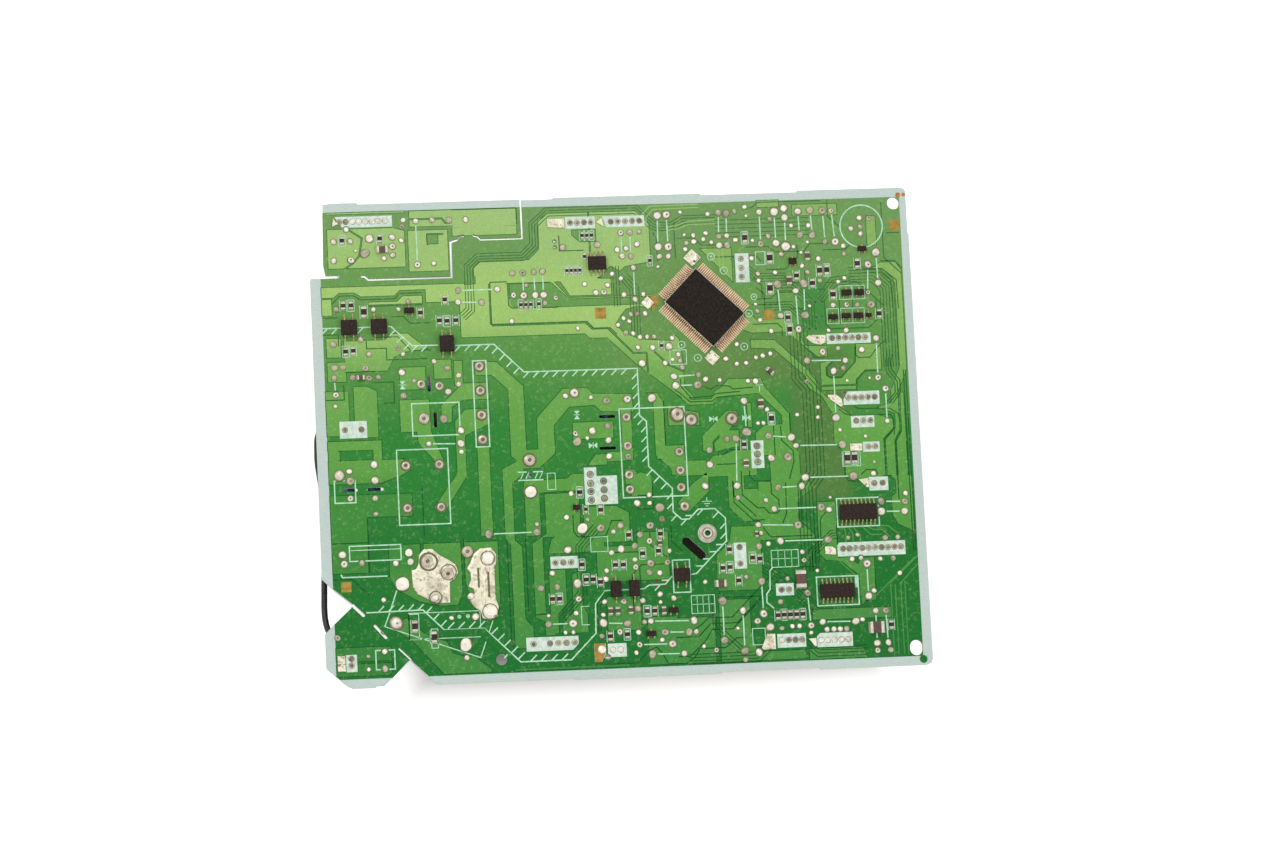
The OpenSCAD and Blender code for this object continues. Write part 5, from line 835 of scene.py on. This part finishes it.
# Outlines of fields whose tone differs from the solids' own pattern
LIGHT_PATCHES = paths([
    # centre right
    [101.2, 86.6, 104.6, 86.4, 106.2, 83.5, 106.2, 70.2, 112.2, 70.2, 112.2, 65.4, 118.4, 65.3, 118.4, 60.6,
     109.8, 60.6, 103, 67.4, 103, 83.6],
    [109, 52.5, 110.5, 49.6, 112.5, 49.6, 118.9, 55.6, 118.9, 60, 124.7, 60, 124.7, 50.5, 129, 46, 134, 46,
     134, 56, 129.8, 56, 129.8, 60, 134, 60, 134, 68, 127, 68, 123.8, 66.7, 120.8, 66.7, 118.6, 64.6,
     118.4, 61.5, 113.5, 58],
    [125.4, 80.2, 128.4, 80.2, 129.4, 78, 128.4, 75.6, 125.2, 75, 120.8, 70.8, 120.8, 67.8, 117.6, 68,
     117.6, 72.8], [121, 70.3, 125, 74.2, 129, 74.2, 129, 69, 125.5, 68.6, 121.5, 67.6],
    [93.3, 63.4, 96, 63.4, 101.6, 57.6, 101.6, 55.2, 97, 55.2, 95, 58.7, 93.3, 58.7],
    [92.9, 81.6, 96.2, 81.6, 96.2, 66, 88.2, 65.8, 88.2, 68.9, 92.9, 68.9],
    # right
    [174.6, 58.6, 181.6, 58.6, 181.6, 41, 176.5, 43.5, 175, 46.5, 175, 52, 176.5, 53, 176.5, 57],
    [137, 75.5, 142, 75.5, 144.8, 78.5, 144.8, 71, 147.3, 66.5, 147.3, 60, 150, 57.5, 150.5, 55, 146, 52,
     146, 46, 150.5, 41.4, 151, 40, 134, 40, 134, 58.3, 138, 58.3, 138, 66, 134, 66, 134, 73],
    [151.6, 44, 157.4, 44, 157.4, 33.9, 161, 33.9, 166.6, 28.8, 168.6, 27, 168.6, 20.4, 165, 20.4, 163.6, 22,
     163.6, 28.2, 158.4, 32.6, 153.6, 33.2, 151.6, 35.4],
    [171.8, 139.2, 174.8, 139.2, 174.8, 130, 171.8, 130], [138, 145, 145, 145, 145, 142.8, 138, 142.8],
    [149, 143.4, 163, 143.4, 163, 139.8, 149, 139.8],
    # top
    [44, 139.5, 52, 139.3, 54, 137.6, 57.8, 137.6, 60.2, 139.5, 64, 139.6, 64, 144.9, 44, 144.9],
    [50.4, 121.7, 76.4, 121.7, 79.2, 117.2, 92, 117.2, 92, 127, 50.4, 127],
    [9.5, 105.6, 22, 105.6, 24, 107.4, 29, 107.4, 35, 102.4, 28, 101.6, 24.6, 100, 22.6, 96, 9.5, 96],
    # left
    [3.4, 68.8, 7, 68.8, 7, 72.2, 3.4, 72.2], [19.5, 69, 28.4, 69, 28.4, 65.6, 25, 63.8, 19.5, 62],
    [74.5, 57.3, 80.8, 57.3, 80.8, 62.6, 77, 62.6, 75.6, 61.3, 74.5, 61.3],
    [82, 64.9, 84.6, 68.3, 88.1, 68.3, 88.1, 64.9],
    # lower middle
    [68.6, 38.4, 69.8, 42.6, 72, 45, 78, 45, 80, 42.8, 86, 42.8, 86, 38.8, 78.2, 38.4],
    [75.6, 32, 75.6, 20.4, 72, 17, 72, 14, 80, 14, 80, 20, 78.6, 22, 78.6, 33],
    [68.6, 14, 71, 14, 71, 20, 73.8, 23, 73.8, 33.6, 68.6, 33.6],
    [56, 3.2, 92, 3.2, 92, 4.1, 64, 4.1, 57.6, 4.6],
])
DARK_PATCHES = paths([
    [36.2, 134.6, 39.6, 134.6, 39.6, 137.6, 36.2, 137.6],
    [60.8, 121.5, 73.6, 121.5, 79, 116.3, 104, 116.3, 104, 114, 62, 114, 60.8, 115.2],
    [80.6, 137.6, 88, 137.6, 88, 133.8, 83, 133.8, 80.6, 136],
    [94, 110, 96, 112.5, 100, 113.5, 104, 112.3, 107.4, 108.6, 110.3, 105.6, 110, 102.4, 100, 103.2,
     95, 105.5, 92.8, 108], [88, 122.4, 92, 126, 95, 124.4, 96.5, 125.8, 104.6, 127, 104.6, 122],
    [24.4, 77, 30.5, 77, 30.9, 73.6, 35.4, 68.2, 35.4, 64, 29, 64, 24.4, 72],
    [36.5, 13.8, 57, 13.8, 57, 8.9, 46.4, 8.9, 42.6, 8.2, 38.5, 9.6],
    [55.1, 8.9, 57, 8.9, 57, 3.2, 55.1, 3.2], [46.4, 8.9, 51.1, 8.9, 51.1, 3.2, 49.8, 4.4, 46, 7.4],
    [105.1, 116.2, 109, 119.6, 114.8, 125.6, 114.8, 140.2, 112, 142.8, 105.1, 142.8],
    [107, 24.8, 120, 24.8, 120, 17.4, 107, 17.4], [164.6, 142.4, 171.4, 142.4, 171.4, 130, 164.6, 130],
    [176.2, 126, 182, 126, 182, 133.4, 176.2, 131],
])


def within(poly, u, v):
    hit = False
    for (x0, y0), (x1, y1) in zip(poly, poly[1:] + poly[:1]):
        if (y0 > v) != (y1 > v) and u < x0 + (v - y0) * (x1 - x0) / (y1 - y0):
            hit = not hit
    return hit


COPPER = BVHTree.FromPolygons([v.co for v in nodes["copper_pattern"].data.vertices],
                              [list(p.vertices) for p in nodes["copper_pattern"].data.polygons])


def light_at(u, v):
    """Whether the board is in its light tone here."""
    if any(within(p, u, v) for p in DARK_PATCHES):
        return False
    if any(within(p, u, v) for p in LIGHT_PATCHES):
        return True
    return COPPER.ray_cast(Vector(pos(u, v, 33)), Vector((0, 0, -1)))[0] is not None


def tone_edges():
    """Short edges where the light and the dark tone meet, in board millimetres."""
    me = nodes["copper_pattern"].data
    top = max(v.co.z for v in me.vertices) - 1e-6
    co = [(v.co.x * 1000 + W / 2, v.co.y * 1000 + H / 2) for v in me.vertices]
    edges = set()
    for p in me.polygons:
        if abs(p.normal.z) < 0.5:
            vs = list(p.vertices)
            for a, b in zip(vs, vs[1:] + vs[:1]):
                if me.vertices[a].co.z > top and me.vertices[b].co.z > top:
                    edges.add(tuple(sorted((co[a], co[b]))))
    for f in LIGHT_PATCHES + DARK_PATCHES:
        edges |= set(zip(f, f[1:] + f[:1]))
    out = []
    for a, b in edges:
        a, b = Vector(a), Vector(b)
        d = b - a
        if d.length < 1e-3:
            continue
        n = max(1, round(d.length / 1.5))
        side = Vector((-d.y, d.x)).normalized() * 0.22
        for k in range(n):
            p, q = a + d * k / n, a + d * (k + 1) / n
            m = (p + q) / 2
            if light_at(*(m + side)) != light_at(*(m - side)):
                out.append([p, q])
    return out


for label, areas, z, look in (("light_fields", LIGHT_PATCHES, 0.003, "resist_light"),
                              ("dark_fields", DARK_PATCHES, 0.004, "resist_dark")):
    f = Flat(label)
    for a in areas:
        f.poly(a, COAT + z)
    f.build(look, look)

gaps_and_edge_shade = Flat("resist_gaps")
# Dark lines where the tones meet: painted shade along the raised copper edges, partly the thin resist there
for e in tone_edges():
    gaps_and_edge_shade.line(e, 0.22, COAT + 0.005)
for g in GAPS:
    gaps_and_edge_shade.line(g, 0.34, COAT + 0.006)
tracks = Flat("resist_tracks")
for g in TRACKS:
    tracks.line(g, 0.32, COAT + 0.01)
for path, n, pitch in BUNDLES:
    bundle(points(path), n + 1, pitch, gaps_and_edge_shade, 0.26, COAT + 0.007)
gaps_and_edge_shade.build("resist_gap", "resist_dark")
tracks.build("resist_track", "resist_light")


# ---------------------------------------------------------------- fine legend

# Lower left ends of the strokes inside the isolation line, and the plain resist outside it
HATCHES = [(37.3, 16.9), (40.5, 16.9), (43.7, 16.9), (46.6, 16.9), (50.4, 14.8), (52.3, 12.8), (54.1, 10.9),
           (56.2, 8.8), (58.2, 6.9), (61.8, 6), (65, 6), (68.2, 6), (71.3, 6)]
OUTSIDE = paths([
    [36.2, 16.62, 48.4, 16.62, 48.9, 15.9, 58.7, 5.72, 74.4, 5.72, 74.4, 3.9, 56.6, 3.9, 55, 5.4, 54.9, 8.7,
     52.6, 8.7, 46, 15.2, 46, 14.7, 34.4, 14.7],
    [74.1, 6.3, 81.8, 13.8, 82.1, 22.9, 85.4, 26.5, 83.6, 26.8, 80.5, 23.4, 80.3, 14.6, 73.4, 7.4],
])


def legend():
    """Printed strokes too fine for the solids, and plain resist over strokes that the board lacks."""
    cover = Flat("plain_resist")
    for a in OUTSIDE:
        cover.poly(a, PRINT + 0.006)
    cover.build("resist_dark", "resist_dark")
    f = Flat("legend_marks")
    z = PRINT - 0.005
    for u, v, r in [(132, 99.8, 1.2), (112.7, 101, 1.2), (117.5, 96.8, 1.2), (134, 110, 1.2),
                    (123.2, 128, 1.2), (127, 123.5, 1.2), (135.8, 115.1, 1), (40.9, 20.4, 0.6),
                    (43.5, 20.5, 0.6)]:
        f.ring(u, v, r - STROKE, r, z)
        f.disc(u, v, 0.28, z, 8)
    for u, v, a in [(121.3, 77.8, 0), (131.5, 77.8, 0), (26.8, 91.5, 90), (79.5, 80.5, 90), (84, 71, 0)]:
        q = placed(u, v, math.radians(a))
        f.poly([q(-1.3, 0.9), q(-1.3, -0.9), q(0, 0)], z)
        f.line([q(0.05, 0.9), q(0.05, -0.9)], STROKE, z)
        f.poly([q(1.3, 0.9), q(0.1, 0), q(1.3, -0.9)], z)
    for y in (52.6, 51.9, 51.2):
        k = 1.5 - (52.6 - y) * 0.8
        f.line([(118 - k, y), (118 + k, y)], STROKE, z)
    f.line([(118, 52.6), (118, 53.8)], STROKE, z)
    for b in [(78, 16.4, 82.3, 22), (111.7, 18.5, 118.8, 24), (136.9, 31.6, 145.2, 36.8),
              (81.8, 38.5, 87, 43), (69.6, 58, 72, 63), (25.6, 14, 28.6, 21.7), (32.2, 11.2, 34.2, 17),
              (137, 125, 139.8, 129), (160.5, 61.8, 166, 66.3), (129.9, 8.2, 133.8, 13.2),
              (109, 95, 114, 99.4)]:
        f.frame(*b, STROKE, z)
    for u0, v0, u1, v1 in [(136.9, 31.6, 145.2, 36.8), (111.7, 18.5, 118.8, 24)]:
        for k in (1, 2, 3):
            x = u0 + (u1 - u0) * k / 4
            f.line([(x, v0), (x, v1)], 0.18, z)
        f.line([(u0, (v0 + v1) / 2), (u1, (v0 + v1) / 2)], 0.18, z)
    f.rect(162.2, 24.5, 163.3, 28, z)
    f.line([(18.3, 18.3), (46.8, 7.8), (51, 18.8)], 0.3, z)
    f.frame(25.6, 14.1, 47.2, 22, STROKE, z)
    f.line([(9, 41.7), (24.4, 41.7)], 0.26, z)
    for x in (61.4, 63, 65.8, 67.2):
        f.line([(x, 61.5), (x + 1, 63.4)], 0.28, z)
    for x, y in HATCHES:
        f.line([(x, y), (x + 2, y + 1.9)], 0.4, z + 0.02)
    f.line([(136, 87.8), (136, 85.6)], STROKE, z)
    f.line([(134.8, 87.8), (137.2, 87.8)], STROKE, z)
    for u in (160, 164.3, 168):
        f.frame(u - 1.8, 106, u + 1.8, 110.6, 0.2, z)
    for u in (164.2, 168.3):
        f.frame(u - 1.9, 113.4, u + 1.9, 117.6, 0.2, z)
    # sides of the frames round the chip resistors, and both ends of every third frame
    for i, (lo, hi) in enumerate(islands("chip_resistors")):
        u, v = middle(lo, hi)
        hw = (hi[0] - lo[0]) / 2 + 0.4
        hl = (hi[1] - lo[1]) / 2 + 1.15
        if hw < 2 and hl < 3:
            for x in (u - hw, u + hw):
                f.line([(x, v - hl), (x, v + hl)], THIN, z)
            for y in (v + hl, v - hl) if i % 3 == 0 else ():
                f.line([(u - hw, y), (u + hw, y)], THIN, z)
    f.build("legend", "legend")


legend()


# ---------------------------------------------------------------- large package and flooded lands

def package_details():
    """Brown ground between the leads, and a pale line round the body: a painted highlight along its edge."""
    q = placed(120.2, 112.1, math.radians(-45))
    ground = Flat("package_ground")
    for x0, y0, x1, y1 in [(-9.7, 7.2, 9.7, 10), (-9.7, -10, 9.7, -7.2),
                           (10.2, -6.5, 13, 6.5), (-13, -6.5, -10.2, 6.5)]:
        ground.poly([q(x0, y0), q(x1, y0), q(x1, y1), q(x0, y1)], COAT + 0.01)
    ground.build("lead_ground", "resist_dark")
    high = max(v.co.z for v in nodes["microcontroller_leads"].data.vertices) * 1000
    # a pale line round the body: a painted highlight along its edge
    rim = Flat("package_rim")
    rim.line([q(-10.1, -7.1), q(10.1, -7.1), q(10.1, 7.1), q(-10.1, 7.1), q(-10.1, -7.1)],
             0.3, high + 0.02, closed=True)
    rim.build("package_edge", "package")


def outlines(name):
    """The top outline of each piece of a CAD node, by angle round its middle, in board millimetres."""
    me = nodes[name].data
    co = [(v.co.x * 1000 + W / 2, v.co.y * 1000 + H / 2, v.co.z * 1000) for v in me.vertices]
    out = []
    for lo, hi in islands(name):
        pts = {(round(x, 2), round(y, 2)) for x, y, z in co if z > hi[2] - 0.01
               and lo[0] - 0.01 <= x <= hi[0] + 0.01 and lo[1] - 0.01 <= y <= hi[1] + 0.01}
        u, v = sum(p[0] for p in pts) / len(pts), sum(p[1] for p in pts) / len(pts)
        out.append((u, v, hi[2] - COAT, sorted(pts, key=lambda p: math.atan2(p[1] - v, p[0] - u))))
    return out


# Middle and outline of the two flooded lands that are hollow in places
BIG_LANDS = [
    (34, 32.4, points([26.9, 35, 27.2, 29.6, 28.6, 27.6, 32.4, 25.6, 34, 24.6, 38.4, 24.6, 38.6, 31.2,
                       40, 31.8, 41.2, 33.8, 40.7, 36.2, 38.6, 37.8, 35.5, 39.6, 33.6, 41.4, 31, 41.4,
                       29.4, 39.6, 29.2, 37, 28.4, 35.4])),
    (48.8, 30.4, points([48, 41, 51.4, 41.2, 53, 39, 52.8, 36.2, 52.2, 35.4, 52.2, 25.4, 53, 23, 52.6, 20,
                         50.4, 18.9, 47.9, 19.5, 47.4, 21.6, 45.4, 23.2, 44.2, 25, 45.7, 27, 45.6, 28.6,
                         43.9, 29.4, 44.8, 31.4, 44.8, 33.6, 43.7, 35, 44.8, 36.6, 46, 39.4])),
]


def bumps(x, y, scale, seed):
    return noise.noise(Vector((x * scale, y * scale, seed)))


def flooded():
    """Solder that has run over whole lands: uneven, higher in the middle, with pits."""
    out = Solid("flooded_solder")
    lands = [o for o in outlines("flooded_lands") if not (26 < o[0] < 54 and 23 < o[1] < 43)]
    for u, v, h, pts in lands + [(u, v, 0.5, pts) for u, v, pts in BIG_LANDS]:
        ring = []
        for (x0, y0), (x1, y1) in zip(pts, pts[1:] + pts[:1]):
            n = max(1, round(math.hypot(x1 - x0, y1 - y0) / 0.5))
            ring += [(x0 + (x1 - x0) * k / n, y0 + (y1 - y0) * k / n) for k in range(n)]
        big = max(math.hypot(x - u, y - v) for x, y in ring)
        steps = [(1.0, 0.0), (0.985, 0.45), (0.95, 0.72)] + [(1 - t / 12, 0.85) for t in range(1, 12)]
        vs, fs, ks = [], [], []
        for k, (f, up) in enumerate(steps):
            for x, y in ring:
                x, y = u + (x - u) * f, v + (y - v) * f
                w = bumps(x, y, 0.7, 0.3) + 0.5 * bumps(x, y, 1.9, 4.1)
                vs.append((x, y, COAT + h * min(max(up + (0.45 * w if k > 1 else 0), 0), 1)))
        m = len(ring)
        for k in range(len(steps) - 1):
            for i in range(m):
                j = (i + 1) % m
                fs.append((k * m + i, k * m + j, (k + 1) * m + j, (k + 1) * m + i))
                x, y, _ = vs[k * m + i]
                pit = bumps(x, y, 0.9, 9.0) + 0.4 * bumps(x, y, 3, 2.0)
                stained = big > 2.4 and pit < (-0.6 if big > 6 else -0.42)
                ks.append(3 if k == 0 else 1 if pit > 0.3 else 2 if stained else 0)
        fs.append(tuple((len(steps) - 1) * m + i for i in range(m)))
        ks.append(0)
        out.add(vs, fs)
        out.kinds += ks
    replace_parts(out.build(["flooded_solder", "solder_mid", "solder_dull", "flux"], "solder"), "flooded_lands")


plain("lead_ground", (150, 112, 78), (112, 82, 54), 900, 0.5)
package_details()
flooded()


# ---------------------------------------------------------------- wear, flux and bare copper

def stains():
    """Flux rings, bare copper, solder spots, slits and rings on the flooded lands, and red dots."""
    brown = Flat("flux_rings")
    for u, v, r0, r1 in [(32, 37.5, 1.9, 2.5), (34.4, 26.3, 1.4, 1.9),
                         *((50.4, v, 1.3, 1.8) for v in (96.5, 89, 81.5, 74)),
                         (64.4, 67.2, 1.6, 2.2), (64.3, 57.5, 1.6, 2.2),
                         *((u, v, 1.2, 1.7) for v in (66.9, 53.9) for u in (26.7, 36.9)),
                         (110.3, 79.6, 1.9, 2.6), (114.5, 77.8, 1.6, 2.2), (127, 77.7, 1.6, 2.2)]:
        brown.ring(u, v, r0, r1, COAT + 0.012)
    brown.build("flux", "resist_dark")
    gold = Flat("bare_gold_marks")
    gold.poly([(81.4, 4.9), (83.5, 4.9), (84.7, 7.6), (84.7, 10.5), (81.4, 10.5)], COAT + 0.32)
    gold.poly([(102.6, 114.8), (104.9, 117), (106.9, 114.6), (104.8, 112.2)], COAT + 0.015)
    gold.build("bare_copper", "bare_gold")
    spot = Solid("solder_spots")
    for u, v, z, r in [(83.7, 8.7, COAT + 0.33, 1.25), (101.9, 114.3, COAT + 0.4, 0.8)]:
        profile = [(r, 0), (r * 0.9, 0.12), (r * 0.6, 0.24), (r * 0.2, 0.3)]
        spot.turned(u, v, z, profile, [1, 0, 0, 0], 16, 0.08)
    spot.build(["solder", "solder_mid"], "solder")
    ring = Flat("eyelet_rings")
    high = max(q.co.z for q in nodes["earth_eyelet"].data.vertices) * 1000 + 0.01
    ring.ring(117.6, 42.8, 1.35, 1.75, high)
    ring.ring(117.6, 42.8, 2.5, 2.65, high)
    ring.build("solder_dull", "solder")
    bare = Flat("bare_copper_marks")
    bare.disc(182.3, 145.4, 0.8, 31.61, 14)
    bare.disc(184, 145.5, 0.6, 31.61, 14)
    bare.build("bare_copper_orange", "bare_gold")
    slots = Flat("land_slits")
    slots.rect(46.9, 29, 47.5, 35, FLOOD_TOP)
    slots.rect(49.9, 26, 50.5, 33.7, FLOOD_TOP)
    slots.line([(117.7, 126.4), (119.2, 127.9)], 0.8, COAT + 0.46)
    for u, v, r0, r1 in [(32.3, 37.4, 2.3, 2.9), (38.2, 34, 2.2, 2.5), (34, 26.5, 1.7, 2),
                         (50.3, 37.8, 2.0, 2.25), (50.3, 21.6, 2.2, 2.45)]:
        slots.ring(u, v, r0, r1, FLOOD_TOP)
    slots.build("flux", "resist_dark")
    reds = Flat("red_dots")
    for u in (101.4, 103.8):
        for v in (27.2, 29):
            reds.rect(u - 0.5, v - 0.5, u + 0.5, v + 0.5, COAT + 0.02)
    reds.build("red_dot", "chip_body")


stains()
